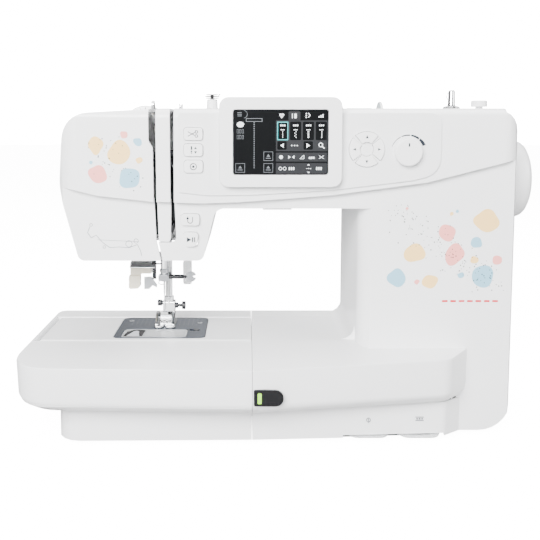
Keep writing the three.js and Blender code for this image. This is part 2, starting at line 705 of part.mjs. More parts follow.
function needleBar() {
  const centre = [NEEDLE.x, NEEDLE.y];
  const bar = turned("z", centre, [
    [0, 117.4], [2.4, 117.4], [4.2, 119.6], [4.2, 127], [3.2, 127], [3.2, 236], [2.4, 237], [0, 237],
  ], 12);
  const screw = turned("x", [NEEDLE.y, 123], [
    [0, -104], [1.3, -104], [1.3, -89], [3.6, -89], [5, -87.4], [5, -79.6], [3.8, -78.2], [0, -78.2],
  ], 12);
  const guard = box(NEEDLE.x - 6.4, NEEDLE.x - 3.9, 18.4, 21.6, 118.6, 123);
  add("needle_bar", CHROME, cut(join(bar, screw, guard), rod("z", 110, 121, centre, 1.1, 10)));
  add("needle", CHROME, turned("z", centre, [
    [0, 89], [0.35, 92], [0.5, 106], [0.85, 108.5], [0.85, 120.4], [0, 120.4],
  ], 10));
}

function presser() {
  const centre = [PRESSER.x, PRESSER.y];
  add("presser_bar", CHROME, turned("z", centre, [[0, 91], [3.2, 91], [3.2, 235], [0, 235]], 12));
  add("foot_holder", CHROME, cut(
    join(
      plate("x", rounded([[24.8, 88.4, 2], [34, 88.4, 2], [34, 99, 2], [24.8, 99, 2]], 3), -108.4, -97),
      rod("x", -113, -108, [29.5, 95.5], 2.8, 14),
      turned("x", [30, 94], [
        [0, -98], [1.6, -98], [1.6, -92], [3.8, -92], [3.8, -85], [3, -84], [0, -84],
      ], 12),
    ),
    rod("z", 90.6, 110, centre, 3.2 + GAP),
  ));
  const sole = plate("z", rounded([
    [-115, 12.6, 4], [-96, 12.6, 4], [-96, 43, 3], [-115, 43, 3]], 3), 76.8, 78.6);
  const toe = box(-111, -100, 12.6, 14.4, 77, 79.4);
  const side = rounded([[26, 78], [31.4, 78], [31.4, 87.9, 2.4], [26, 87.9, 2.4]], 3);
  const block = plate("x", side, -108, -98);
  add("presser_foot", CHROME, cut(
    join(sole, toe, block),
    box(NEEDLE.x - 3.6, NEEDLE.x + 3.6, NEEDLE.y - 2.2, NEEDLE.y + 2.2, 60, 90),
    box(NEEDLE.x - 0.7, NEEDLE.x + 0.7, 0, 20, 60, 90),
  ));
  const lever = rounded([
    [LIFTER.y - 5, LIFTER.z + 5, 5], [LIFTER.y - 5, LIFTER.z - 5, 5], [60, 133, 3], [68, 129, 3],
    [LIFTER.y + 6, LIFTER.z + 5, 5],
  ], 3);
  add("presser_lifter", WHITE, plate("x", lever, -95, -91));
}

function takeUpLever() {
  const outline = rounded([
    [TAKE_UP.y + 4, TAKE_UP.z - 3, 3], [TAKE_UP.y + 3, TAKE_UP.z + 4, 3], [-26, 272, 8],
    [-37, 281.8, 3], [-44, 280, 3], [-42, 272, 3], [-30, 264, 6], [TAKE_UP.y - 4, TAKE_UP.z - 4, 3],
  ], 3);
  add("take_up_lever", CHROME, cut(
    join(plate("x", outline, -108.4, -106.2), rod("x", -109.8, -105, [TAKE_UP.y, TAKE_UP.z], 3, 14)),
    rod("x", -120, -100, [-39.6, 278], 1.3, 10),
  ));
}

function headLevers() {
  const threader = join(
    box(-135.5, -113.2, 16, 24, 127, 138),
    box(-125.4, -121, 17, 23, 137, 190),
    box(-123, -112.4, 18.2, 21.8, 113, 127.4),
  );
  const tab = plate("y", softBox(-137, -127, 114, 128, 2.4, 3), 15, 20);
  add("needle_threader", CREAM, cut(join(threader, tab), box(-119.5, -111, 10, 30, 116, 122)));
  add("buttonhole_lever", CLEAR, plate("y", rounded([
    [-90.4, 112, 2], [-82.1, 112, 2], [-82.1, 180, 1], [-87, 180, 1], [-87, 140, 2], [-90.4, 133, 2],
  ], 3), 38, 41));
}

// ---------------------------------------------------------------- controls

function panelOutline() {
  return rounded([
    [PANEL.left, 207], [-63, 204.4, 20], [-30, 204.6], [38, 208.6], [104, 216.6, 20],
    [PANEL.right, 222, 16], [PANEL.right, PANEL.top, 8], [PANEL.left, PANEL.top, 3],
  ], 4);
}

function controlPanel() {
  const windows = [
    plate("y", softBox(BEZEL.left - GAP, BEZEL.right + GAP, BEZEL.bottom - GAP, 300, 7), -70, -30),
    rod("y", -70, -30, [DIAL.x, DIAL.z], 4),
    ...UPPER_BUTTONS.map(([, z0, z1]) => plate("y", buttonOutline(z0, z1, GAP), -70, -30)),
    ...ARROWS.map((turn) => plate("y", arrowOutline((turn * Math.PI) / 180, GAP), -70, -30)),
  ];
  const sheet = plate("y", panelOutline(), PANEL.front, PANEL.back);
  add("control_panel", PANEL_WHITE, cut(sheet, ...windows));
}

/** The outline of the display's glass, with a margin all round. */
function screenOutline(margin) {
  const left = SCREEN.left - margin;
  const right = SCREEN.right + margin;
  return softBox(left, right, SCREEN.bottom - margin, SCREEN.top + margin, 1.9);
}

function display() {
  const outline = softBox(BEZEL.left, BEZEL.right, BEZEL.bottom, BEZEL.top, 7.5, 5);
  const frame = plate("y", outline, BEZEL.front, PANEL.back);
  const back = PANEL.back - 1;
  const hood = plate("x", [[back, 275.4], [-38, 275.4], [-38, 276.6], [back, 282.5]], -46, 39.5);
  add("display_bezel", WHITE, cut(join(frame, hood), plate("y", screenOutline(GAP), -70, -30)));
  add("display_screen", SCREEN_GLASS, plate("y", screenOutline(0), -56.8, -52));
  add("control_board", BOARD, box(-58, 112, -36, -34.4, 214, 266));
}

function keys() {
  for (const [name, z0, z1] of UPPER_BUTTONS) {
    add(name, KEY_WHITE, plate("y", buttonOutline(z0, z1), -53.6, BUTTON_BACK));
  }
  add("button_reverse", KEY_WHITE, plate("y", reverseOutline(), -47.6, -37));
  add("button_start_stop", KEY_WHITE, plate("y", startOutline(), -47.6, -37));
  const arrows = ARROWS.map((turn) => plate("y", arrowOutline((turn * Math.PI) / 180), -53.4, -43));
  const ring = turned("y", [PAD.x, PAD.z], [
    [0, -45], [PAD.outer - 0.4, -45], [PAD.outer - 0.4, BUTTON_BACK], [0, BUTTON_BACK],
  ], 16);
  add("arrow_pad", KEY_WHITE, join(ring, ...arrows));
  add("speed_dial", KEY_WHITE, turned("y", [DIAL.x, DIAL.z], [
    [0, -57.4], [DIAL.r - 1.2, -57.4], [DIAL.r, -56.4], [DIAL.r, -52], [3.6, -52], [3.6, BUTTON_BACK],
    [0, BUTTON_BACK],
  ], 20));
  add("tension_dial", WHITE, turned("y", [TENSION.x, TENSION.z], [
    [0, TENSION.front], [TENSION.r - 1, TENSION.front], [TENSION.r, TENSION.front + 1],
    [TENSION.r, TENSION.back - 1], [TENSION.r - 1, TENSION.back], [0, TENSION.back],
  ], 24));
}

// ---------------------------------------------------------------- on the top

function spool() {
  const centre = [SPOOL.y, SPOOL.z];
  const post = box(TROUGH.left + GAP, TROUGH.left + 6, 30, 44, TROUGH.floor + GAP, 271);
  add("spool_pin", WHITE, join(post, rod("x", TROUGH.left + 5, 101, centre, 3, 16)));
  add("thread_spool", THREAD, turned("x", centre, [
    [3.5, 56], [14, 56], [14, 57.6], [12.7, 61.4], [12.7, 84], [10.6, 87.8], [11, 88.4], [11, 89.6],
    [3.5, 89.6],
  ], 18));
  add("spool_cap", WHITE, turned("x", centre, [
    [3.4, 90.2], [18.2, 90.2], [18.8, 91], [18.4, 92.4], [8, 94], [5.4, 95], [5.4, 97.4], [3.4, 97.4],
  ], 20));
}

function winder() {
  const centre = [WINDER.x, WINDER.y];
  add("winder_spindle", CHROME, turned("z", centre, [
    [0, 258], [3.2, 258], [3.2, 275.6], [7.4, 275.6], [7.4, 277.6], [3.4, 278.6], [3, 291.4],
    [2, 292.6], [0, 292.6],
  ], 14));
  add("winder_stop", WHITE, turned("z", [179, 25], [
    [0, 268], [3.2, 268], [3.2, 277.6], [7.1, 277.6], [7.1, 282.4], [6.3, 283.2], [0, 283.2],
  ], 16));
}

function topGuides() {
  add("bobbin_thread_guide", WHITE, turned("z", [-60.8, 6], [
    [0, 269], [3, 269], [3, 275.4], [4.6, 275.4], [4.3, 283.7], [6.8, 285], [6.8, 285.4],
    [1.6, 286], [6.8, 286.7], [6.8, 287.1], [2, 288.2], [0, 288.2],
  ], 14));
  const grip = rounded([
    [-52, 222, 8], [46, 222, 8], [46, 263.3, 3.4], [38, 263.3, 3.4], [38, 232, 5], [-44, 232, 5],
    [-44, 263.3, 3.4], [-52, 263.3, 3.4],
  ], 3);
  add("carry_handle", WHITE, plate("y", grip, 77.6, 84.6));
}

// ---------------------------------------------------------------- the base and the right end

function base() {
  const tongue = box(-178, -10, -12, 44, 3.2, 8.7);
  const main = plate("z", inset(rounded([
    [SEAM_X + WALL, -61.5], [40, -58.5], [124, -53, 4], [144.5, -40.8, 2], [160, -38, 2],
    [160, 79], [SEAM_X + WALL, 79],
  ]), 0.6), 3.2, 8.7);
  const slots = CARDS.map(([, x]) => box(x - GAP, x + CARD.width + GAP, -90, CARD.rear + 1, 4.3, 6.1));
  add("base_plate", CAST, cut(join(main, tongue), ...slots));
  for (const [name, x] of CARDS) {
    const tab = rounded([
      [x, CARD.front + 12], [x + 7, CARD.front - 3, 8], [x + CARD.width - 7, CARD.front - 3, 8],
      [x + CARD.width, CARD.front + 12], [x + CARD.width, CARD.rear], [x, CARD.rear],
    ], 3);
    const finger = softBox(x + 11, x + CARD.width - 11, CARD.front + 2, CARD.front + 6.5, 2, 3);
    add(name, CLEAR, cut(plate("z", tab, CARD.bottom, CARD.top), plate("z", finger, 0, 20)));
  }
}

function feet() {
  const places = [
    ["foot_left_front", -168, -4],
    ["foot_left_rear", -168, 36],
    ["foot_right_front", 146, -30],
    ["foot_right_rear", 146, 66],
  ];
  for (const [name, x, y] of places) {
    add(name, RUBBER, turned("z", [x, y], [[0, 0], [7, 0], [8, 1], [8, 2.9], [0, 2.9]], 14));
  }
}

function rightEnd() {
  add("power_switch", DARK, plate("y", rounded([
    [186, 82, 1], [192.6, 80.6, 1], [192.6, 90], [195.2, 98.6, 1], [186, 98, 1]], 2), 5.4, 24.6));
  const flange = plate("x", softBox(-0.5, 54.5, 41.5, 68.5, 4), 192.9, 194.4);
  const socket = join(box(176, 193, 2, 28, 44, 66), rod("x", 176, 193, [46, 55], 6, 20), flange);
  const inlet = plate("x", softBox(6, 24, 48.5, 61.5, 6), 182, 200);
  const jack = rod("x", 182, 200, [46, 55], 3.2, 16);
  const pins = [11, 19].map((y) => rod("x", 181, 190, [y, 55], 1.3, 12));
  add("sockets", DARK, join(cut(socket, inlet, jack), ...pins));
}

function baseFront() {
  add("status_window", BLACK_GLOSS, plate("y", statusOutline(), -97.5, -95.1));
  add("lamp_lens", CLEAR, box(-17, 7, -35, -5, 190.9, 195.2));
}

covers();
freeArm();
accessoryBox();
needlePlate();
bobbinLatch();
feedDogs();
hook();
lowerShaft();
drive();
timingBelt();
machineFrame();
needleBar();
presser();
takeUpLever();
headLevers();
controlPanel();
display();
keys();
spool();
winder();
topGuides();
base();
feet();
rightEnd();
baseFront();

export default group;
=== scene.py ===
"""The looks of a domestic computerised sewing machine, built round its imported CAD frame."""

import json
import math
import random

import bmesh
import bpy
from mathutils import Matrix, Vector


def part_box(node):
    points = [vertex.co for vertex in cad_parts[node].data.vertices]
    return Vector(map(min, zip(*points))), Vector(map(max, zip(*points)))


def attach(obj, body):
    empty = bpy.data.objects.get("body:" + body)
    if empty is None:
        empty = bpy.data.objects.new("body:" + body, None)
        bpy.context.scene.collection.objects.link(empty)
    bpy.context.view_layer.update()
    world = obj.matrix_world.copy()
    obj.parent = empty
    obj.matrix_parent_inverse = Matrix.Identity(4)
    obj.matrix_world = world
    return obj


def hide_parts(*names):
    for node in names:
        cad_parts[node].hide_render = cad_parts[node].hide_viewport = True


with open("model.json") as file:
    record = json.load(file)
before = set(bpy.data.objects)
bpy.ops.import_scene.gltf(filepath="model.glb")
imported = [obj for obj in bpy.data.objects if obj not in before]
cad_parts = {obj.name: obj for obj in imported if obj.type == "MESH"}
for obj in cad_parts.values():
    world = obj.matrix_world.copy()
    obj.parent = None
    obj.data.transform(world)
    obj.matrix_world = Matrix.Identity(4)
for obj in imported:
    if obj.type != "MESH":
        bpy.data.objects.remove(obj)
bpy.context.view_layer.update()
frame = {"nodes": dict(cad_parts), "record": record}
NODES = frame["nodes"]
MM = 0.001
SEGMENTS = 96  # round a turned part
MERGE_DISTANCE = 1e-7
DRIFT_SCALE = 14.0  # of the slow drift in a material's colour
ROUGHNESS_SPREAD = 0.04
RELIEF_DEPTH = 0.0002
BRUSH_SCALE = 300.0
THREAD_RIDGE_SCALE = 700.0

SLOT_OF = {part["node"]: part["material_slot"] for part in frame["record"]["subparts"]}
BODY_OF = {
    node: body
    for body, nodes in frame["record"]["behaviour"]["bodies"].items()
    for node in nodes
}

# ---------------- materials


def surface(name, colour, roughness, variation=0.02, grain=900.0, bump=0.02, **sockets):
    """A procedural material: a colour that drifts a little, and a fine surface grain."""
    material = bpy.data.materials.new(name)
    material.use_nodes = True
    nodes, links = material.node_tree.nodes, material.node_tree.links
    shader = nodes["Principled BSDF"]
    shader.inputs["Metallic"].default_value = sockets.pop("metallic", 0.0)
    for socket, value in sockets.items():
        shader.inputs[socket.replace("_", " ").title().replace("Ior", "IOR")].default_value = value
    place = nodes.new("ShaderNodeTexCoord")
    drift = nodes.new("ShaderNodeTexNoise")
    drift.inputs["Scale"].default_value = DRIFT_SCALE
    drift.inputs["Detail"].default_value = 3.0
    links.new(place.outputs["Object"], drift.inputs["Vector"])
    ramp = nodes.new("ShaderNodeMix")
    ramp.data_type = "RGBA"
    darker = [channel * (1.0 - variation) for channel in colour]
    lighter = [min(1.0, channel * (1.0 + variation)) for channel in colour]
    ramp.inputs["A"].default_value = (*darker, 1.0)
    ramp.inputs["B"].default_value = (*lighter, 1.0)
    links.new(drift.outputs["Fac"], ramp.inputs["Factor"])
    links.new(ramp.outputs["Result"], shader.inputs["Base Color"])
    fine = nodes.new("ShaderNodeTexNoise")
    fine.inputs["Scale"].default_value = grain
    fine.inputs["Detail"].default_value = 4.0
    links.new(place.outputs["Object"], fine.inputs["Vector"])
    rough = nodes.new("ShaderNodeMapRange")
    rough.inputs["To Min"].default_value = max(0.02, roughness - ROUGHNESS_SPREAD)
    rough.inputs["To Max"].default_value = min(1.0, roughness + ROUGHNESS_SPREAD)
    links.new(fine.outputs["Fac"], rough.inputs["Value"])
    links.new(rough.outputs["Result"], shader.inputs["Roughness"])
    relief = nodes.new("ShaderNodeBump")
    relief.inputs["Strength"].default_value = bump
    relief.inputs["Distance"].default_value = RELIEF_DEPTH
    links.new(fine.outputs["Fac"], relief.inputs["Height"])
    links.new(relief.outputs["Normal"], shader.inputs["Normal"])
    return material


def brushed(name, colour, roughness, stretch):
    """A metal with fine lines along one direction: the pattern is squeezed across them."""
    material = surface(name, colour, roughness, variation=0.06, bump=0.05, metallic=1.0)
    nodes, links = material.node_tree.nodes, material.node_tree.links
    place = nodes.new("ShaderNodeTexCoord")
    squeeze = nodes.new("ShaderNodeMapping")
    squeeze.inputs["Scale"].default_value = stretch
    lines = nodes.new("ShaderNodeTexNoise")
    lines.inputs["Scale"].default_value = BRUSH_SCALE
    links.new(place.outputs["Object"], squeeze.inputs["Vector"])
    links.new(squeeze.outputs["Vector"], lines.inputs["Vector"])
    relief = next(node for node in nodes if node.type == "BUMP")
    links.new(lines.outputs["Fac"], relief.inputs["Height"])
    return material


def thread_material():
    """Thread wound round the X axis: fine ridges along it."""
    material = surface("wound_thread", (0.0, 0.36, 0.42), 0.55, variation=0.1, sheen_weight=0.4)
    nodes, links = material.node_tree.nodes, material.node_tree.links
    place = nodes.new("ShaderNodeTexCoord")
    ridges = nodes.new("ShaderNodeTexWave")
    ridges.bands_direction = "X"
    ridges.inputs["Scale"].default_value = THREAD_RIDGE_SCALE
    ridges.inputs["Distortion"].default_value = 1.2
    links.new(place.outputs["Object"], ridges.inputs["Vector"])
    relief = next(node for node in nodes if node.type == "BUMP")
    relief.inputs["Strength"].default_value = 0.5
    links.new(ridges.outputs["Fac"], relief.inputs["Height"])
    return material


WHITE = surface("white_shell", (0.87, 0.873, 0.88), 0.3, coat_weight=0.2, coat_roughness=0.15)
PANEL = surface("panel_shell", (0.84, 0.845, 0.85), 0.34, coat_weight=0.12)
KEY = surface("key_white", (0.88, 0.88, 0.88), 0.36, bump=0.04)
# Real dark plastic parts, and also painted shade in the screw slots, rear vents and winder slot.
DARK_PLASTIC_AND_SHADE = surface("dark_plastic_look", (0.012, 0.013, 0.015), 0.4, variation=0.15, bump=0.06)
GLOSS_BLACK = surface("gloss_black", (0.006, 0.006, 0.007), 0.12, variation=0.1, specular_ior_level=0.3)
SCREEN_BLACK = surface(
    "screen_black", (0.004, 0.0045, 0.005), 0.2, variation=0.2, bump=0.0, specular_ior_level=0.15
)
CLEAR = surface(
    "clear_shell", (0.9, 0.92, 0.93), 0.2, transmission_weight=0.55, ior=1.45, alpha=0.82
)
CHROME = surface("chrome_look", (0.78, 0.79, 0.8), 0.1, metallic=1.0, variation=0.05)
STEEL = brushed("steel_look", (0.55, 0.57, 0.6), 0.3, (0.05, 1.0, 1.0))
PLATE = brushed("plate_look", (0.08, 0.09, 0.11), 0.42, (0.04, 1.0, 1.0))
# Darkened far below bare aluminium: painted shade, so the frame inside the head's slot reads black.
CAST_DARKENED_FOR_SHADE = surface("cast_painted_shade_look", (0.1, 0.105, 0.11), 0.6, variation=0.12, grain=260, bump=0.3, metallic=0.9)
RUBBER = surface("rubber_look", (0.012, 0.012, 0.012), 0.85, variation=0.2, grain=500, bump=0.2)
BOARD = surface("board_look", (0.02, 0.13, 0.06), 0.5, variation=0.3, grain=400)
THREAD = thread_material()
CREAM = surface("cream_look", (0.8, 0.74, 0.6), 0.42)
INK = surface("grey_ink", (0.018, 0.022, 0.03), 0.5, variation=0.08, specular_ior_level=0.2)
PALE_INK = surface("pale_ink", (0.16, 0.17, 0.19), 0.5, variation=0.06, specular_ior_level=0.2)
RIM = surface("rim_grey", (0.5, 0.52, 0.55), 0.4, variation=0.05)
DISPLAY_WHITE = surface("display_white", (0.8, 0.84, 0.86), 0.4, variation=0.04)
DISPLAY_GREY = surface("display_grey", (0.018, 0.019, 0.021), 0.4, variation=0.1, specular_ior_level=0.15)
DISPLAY_TEAL = surface("display_teal", (0.03, 0.36, 0.38), 0.4, variation=0.05)
DISPLAY_LINE = surface("display_line", (0.12, 0.13, 0.14), 0.4, variation=0.05, specular_ior_level=0.15)
GREEN = surface(
    "green_lens", (0.25, 0.6, 0.03), 0.3, emission_color=(0.35, 0.9, 0.02, 1.0), emission_strength=0.9
)
RED = surface("red_ink", (0.62, 0.015, 0.03), 0.4, variation=0.05)
YELLOW = surface("print_yellow", (0.93, 0.62, 0.24), 0.4, variation=0.03)
BLUE = surface("print_blue", (0.26, 0.5, 0.64), 0.4, variation=0.03)
ROSE = surface("print_rose", (0.9, 0.34, 0.31), 0.4, variation=0.03)
FLOOR = surface("studio_floor", (0.9, 0.9, 0.9), 0.7, variation=0.006, grain=120, bump=0.02)



FLOOR_GLOW = 14.0
FLOOR_DIM = 0.3  # the floor's reflectance for every ray but the camera's


def lift_floor(material):
    """Makes the floor about as bright as the backdrop, without lighting the machine from below."""
    nodes, links = material.node_tree.nodes, material.node_tree.links
    glow = nodes.new("ShaderNodeEmission")
    glow.inputs["Strength"].default_value = FLOOR_GLOW
    ray = nodes.new("ShaderNodeLightPath")
    both = nodes.new("ShaderNodeAddShader")
    choose = nodes.new("ShaderNodeMixShader")
    links.new(nodes["Principled BSDF"].outputs["BSDF"], both.inputs[0])
    links.new(glow.outputs["Emission"], both.inputs[1])
    links.new(ray.outputs["Is Camera Ray"], choose.inputs[0])
    dim = nodes.new("ShaderNodeBsdfDiffuse")
    dim.inputs["Color"].default_value = (FLOOR_DIM, FLOOR_DIM, FLOOR_DIM, 1.0)
    links.new(dim.outputs["BSDF"], choose.inputs[1])
    links.new(both.outputs["Shader"], choose.inputs[2])
    links.new(choose.outputs["Shader"], nodes["Material Output"].inputs["Surface"])


lift_floor(FLOOR)

LOOK_OF = {
    "white_plastic": WHITE,
    "panel_plastic": PANEL,
    "key_plastic": KEY,
    "dark_plastic": DARK_PLASTIC_AND_SHADE,
    "black_gloss": GLOSS_BLACK,
    "screen_glass": SCREEN_BLACK,
    "clear_plastic": CLEAR,
    "chrome": CHROME,
    "steel": STEEL,
    "plate_steel": PLATE,
    "cast_alloy": CAST_DARKENED_FOR_SHADE,
    "rubber": RUBBER,
    "circuit_board": BOARD,
    "thread": THREAD,
    "cream_plastic": CREAM,
}

# ---------------- pieces


def piece(name, mesh_builder, look, body, smooth=35.0):
    """Makes an object from a bmesh, with its look, riding on a body."""
    bmesh.ops.remove_doubles(mesh_builder, verts=mesh_builder.verts, dist=MERGE_DISTANCE)
    bmesh.ops.recalc_face_normals(mesh_builder, faces=mesh_builder.faces)
    mesh = bpy.data.meshes.new(name)
    mesh_builder.to_mesh(mesh)
    mesh_builder.free()
    mesh.materials.append(look)
    made = bpy.data.objects.new(name, mesh)
    bpy.context.scene.collection.objects.link(made)
    mesh.shade_smooth()
    mesh.set_sharp_from_angle(angle=math.radians(smooth))
    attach(made, body)
    return made


def soften(made, width, segments=3, angle=32.0):
    """Rounds the sharp edges of a piece and settles its shading."""
    bevel = made.modifiers.new("rounded_edges", "BEVEL")
    bevel.width = width * MM
    bevel.segments = segments
    bevel.limit_method = "ANGLE"
    bevel.angle_limit = math.radians(angle)
    bevel.harden_normals = False
    weighted = made.modifiers.new("even_shading", "WEIGHTED_NORMAL")
    weighted.keep_sharp = False
    weighted.weight = 80
    return made


def refined(node, width=0.4, look=None, segments=2):
    """Stands a softened copy of a CAD node in its place."""
    builder = bmesh.new()
    builder.from_mesh(NODES[node].data)
    bmesh.ops.remove_doubles(builder, verts=builder.verts, dist=2e-6)
    flat = math.radians(0.6)
    bmesh.ops.dissolve_limit(builder, angle_limit=flat, verts=builder.verts, edges=builder.edges)
    slot = SLOT_OF[node]
    made = piece(node + "_look", builder, look or LOOK_OF[slot], BODY_OF[node])
    soften(made, width, segments)
    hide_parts(node)
    return made


def axis_frame(axis):
    """Turns a drawing's across, up and along into the row's X, Y and Z."""
    columns = {
        "x": (Vector((0, 1, 0)), Vector((0, 0, 1)), Vector((1, 0, 0))),
        "y": (Vector((1, 0, 0)), Vector((0, 0, 1)), Vector((0, -1, 0))),
        "z": (Vector((1, 0, 0)), Vector((0, 1, 0)), Vector((0, 0, 1))),
    }[axis]
    return Matrix(columns).transposed().to_4x4()


def add_prism(builder, axis, outline, low, high):
    """Adds a plate with an outline in millimetres to a bmesh, between two places on an axis."""
    near, far = (-high, -low) if axis == "y" else (low, high)
    turn = axis_frame(axis)
    rings = [
        [builder.verts.new(turn @ Vector((a * MM, b * MM, place * MM))) for a, b in outline]
        for place in (near, far)
    ]
    count = len(outline)
    builder.faces.new(list(reversed(rings[0])))
    builder.faces.new(rings[1])
    for i in range(count):
        j = (i + 1) % count
        builder.faces.new((rings[0][i], rings[0][j], rings[1][j], rings[1][i]))


def prisms(name, axis, outlines, low, high, look, body):
    """One piece made of several plates at one depth."""
    builder = bmesh.new()
    for outline in outlines:
        add_prism(builder, axis, outline, low, high)
    return piece(name, builder, look, body)


def turned(name, axis, centre, profile, look, body, smooth=35.0, segments=SEGMENTS):
    """A body of revolution from [radius, place] pairs in millimetres, closed on itself."""
    builder = bmesh.new()
    turn = axis_frame(axis)
    flip = -1.0 if axis == "y" else 1.0
    rings = []
    for radius, place in profile:
        ring = []
        for k in range(segments):
            a = 2.0 * math.pi * k / segments
            across = radius * math.cos(a) + centre[0]
            up = radius * math.sin(a) + centre[1]
            spot = Vector((across, up, flip * place))
            ring.append(builder.verts.new(turn @ (spot * MM)))
        rings.append(ring)
    for r, ring in enumerate(rings):
        following = rings[(r + 1) % len(rings)]
        for k in range(segments):
            j = (k + 1) % segments
            builder.faces.new((ring[k], ring[j], following[j], following[k]))
    return piece(name, builder, look, body, smooth)


def circle(x, z, radius, count=32):
    """The outline of a round spot."""
    turns = [2.0 * math.pi * k / count for k in range(count)]
    return [(x + radius * math.cos(a), z + radius * math.sin(a)) for a in turns]


def rectangle(left, right, bottom, top, radius=0.0, steps=5):
    """The outline of a rectangle with rounded corners."""
    if radius == 0.0:
        return [(left, bottom), (right, bottom), (right, top), (left, top)]
    centres = [(right - radius, bottom + radius, -90), (right - radius, top - radius, 0)]
    centres += [(left + radius, top - radius, 90), (left + radius, bottom + radius, 180)]
    outline = []
    for x, z, start in centres:
        for k in range(steps + 1):
            a = math.radians(start + 90.0 * k / steps)
            outline.append((x + radius * math.cos(a), z + radius * math.sin(a)))
    return outline


def stroke(x0, z0, x1, z1, width):
    """The outline of a straight line with a width."""
    along = Vector((x1 - x0, z1 - z0)).normalized()
    side = Vector((-along.y, along.x)) * width / 2.0
    return [
        (x0 - side.x, z0 - side.y),
        (x1 - side.x, z1 - side.y),
        (x1 + side.x, z1 + side.y),
        (x0 + side.x, z0 + side.y),
    ]


def strokes(points, width):
    """The outlines of a chain of straight lines."""
    return [stroke(*a, *b, width) for a, b in zip(points, points[1:])]


def arc_band(x, z, inner, outer, start, end, steps=24):
    """The outline of a curved band. The radii may be pairs, for its two ends."""
    inner = inner if isinstance(inner, tuple) else (inner, inner)
    outer = outer if isinstance(outer, tuple) else (outer, outer)
    turns = [start + (end - start) * k / steps for k in range(steps + 1)]

    def edge(radii):
        return [
            (
                x + (radii[0] + (radii[1] - radii[0]) * k / steps) * math.cos(math.radians(a)),
                z + (radii[0] + (radii[1] - radii[0]) * k / steps) * math.sin(math.radians(a)),
            )
            for k, a in enumerate(turns)
        ]

    return edge(outer) + list(reversed(edge(inner)))


def ring(x, z, inner, outer):
    """The outlines of a round band, as two halves."""
    return [arc_band(x, z, inner, outer, 0, 180), arc_band(x, z, inner, outer, 180, 360)]


def lathe(node, axis, centre, profile, look=None, smooth=40.0, segments=SEGMENTS, ease=0.25):
    """Stands a finely turned piece in a CAD node's place."""
    slot = SLOT_OF[node]
    look = look or LOOK_OF[slot]
    made = turned(node + "_look", axis, centre, profile, look, BODY_OF[node], smooth, segments)
    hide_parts(node)
    if ease:
        soften(made, ease, 2)
    return made


def extra_lathe(name, host, axis, centre, profile, look, segments=SEGMENTS, ease=0.15):
    """A turned detail that rides with a CAD node."""
    made = turned(name, axis, centre, profile, look, BODY_OF[host], 40.0, segments)
    if ease:
        soften(made, ease, 2)
    return made


TUBE_SIDES = 12


def tube(name, host, points, radius, look):
    """A round wire through points in millimetres."""
    builder = bmesh.new()
    spots = [Vector(point) for point in points]
    rings = []
    side = Vector((0.0, 0.0, 1.0))
    for i, spot in enumerate(spots):
        along = (spots[min(i + 1, len(spots) - 1)] - spots[max(i - 1, 0)]).normalized()
        side = (side - along * side.dot(along)).normalized()
        if side.length < 0.5:
            side = along.orthogonal().normalized()
        up = along.cross(side)
        rings.append([
            builder.verts.new(
                (spot + (side * math.cos(a) + up * math.sin(a)) * radius) * MM
            )
            for a in (2.0 * math.pi * k / TUBE_SIDES for k in range(TUBE_SIDES))
        ])
    for one, two in zip(rings, rings[1:]):
        for k in range(TUBE_SIDES):
            j = (k + 1) % TUBE_SIDES
            builder.faces.new((one[k], one[j], two[j], two[k]))
    builder.faces.new(list(reversed(rings[0])))
    builder.faces.new(rings[-1])
    return piece(name, builder, look, BODY_OF[host])


def mark(name, host, outlines, face, look, axis="y", rise=0.12):
    """A print or inlay on a face of a CAD node. Low Y faces and high Z faces look outwards."""
    low, high = (face - rise, face + 0.2) if axis == "y" else (face - 0.2, face + rise)
    return prisms(name, axis, outlines, low, high, look, BODY_OF[host])


def block(name, host, axis, outline, low, high, look, ease=0.4):
    """A solid detail with softened edges that rides with a CAD node."""
    made = prisms(name, axis, [outline], low, high, look, BODY_OF[host])
    return soften(made, ease, 3)


# ---------------- places, in millimetres

# Turned parts along X: the Y and Z of their axis.
SHAFT_AT = (20, 213)
LOWER_SHAFT_AT = (20, 44)
MOTOR_AT = (48, 130)
SPOOL_AT = (37, 264)
# Turned parts along Y: the X and Z of their axis.
SPEED_DIAL_AT = (99.7, 239.7)
TENSION_DIAL_AT = (-122, 257.6)
ARROW_PAD_AT = (66.4, 242)
# Turned parts along Z: the X and Y of their axis.
NEEDLE_AT = (-106, 20)
PRESSER_AT = (-102.5, 28)
HOOK_AT = (-106, -1)
WINDER_AT = (154, 25)
WINDER_STOP_AT = (179, 25)
GUIDE_AT = (-60.8, 6)
# The Y of faces that prints lie on.
UPPER_KEY_FACE = -53.6
LOWER_KEY_FACE = -47.6
ARROW_PAD_FACE = -53.4
SPEED_DIAL_FACE = -57.4
PANEL_FACE = -51.6
SCREEN_FACE = -56.8
TENSION_DIAL_FACE = 25.0
BED_FACE = -97.5
HEAD_FACE = -50.0
LOWER_HEAD_FACE = -44.5
COLUMN_FACE = -44.5
ARM_REAR_FACE = 75.0
COLUMN_REAR_FACE = 97.5
COLUMN_LEFT = 70  # the X where the deeper column begins at the rear
# The Z of faces that prints lie on.
BOBBIN_COVER_TOP = 76.3
PLATE_TOP = 76.4
COLUMN_TOP = 275.0
# The display's upper left corner.
SCREEN_LEFT = -41.2
SCREEN_TOP = 273.5

# ---------------- the body


def build_covers():
    """The shells, the handle, the bezel and the keys, with softened edges."""
    for node, width in [
        ("front_cover", 1.0),
        ("rear_cover", 1.0),
        ("face_cover", 1.0),
        ("thread_channel_cover", 0.5),
        ("free_arm_cover", 0.8),
        ("accessory_box", 0.8),
        ("accessory_lid", 0.8),
        ("carry_handle", 1.6),
        ("control_panel", 0.3),
        ("display_bezel", 1.2),
        ("presser_lifter", 0.8),
    ]:
        refined(node, width, segments=3)
    for node in NODES:
        if node.startswith("button_") or node == "arrow_pad":
            refined(node, 0.5, segments=3)


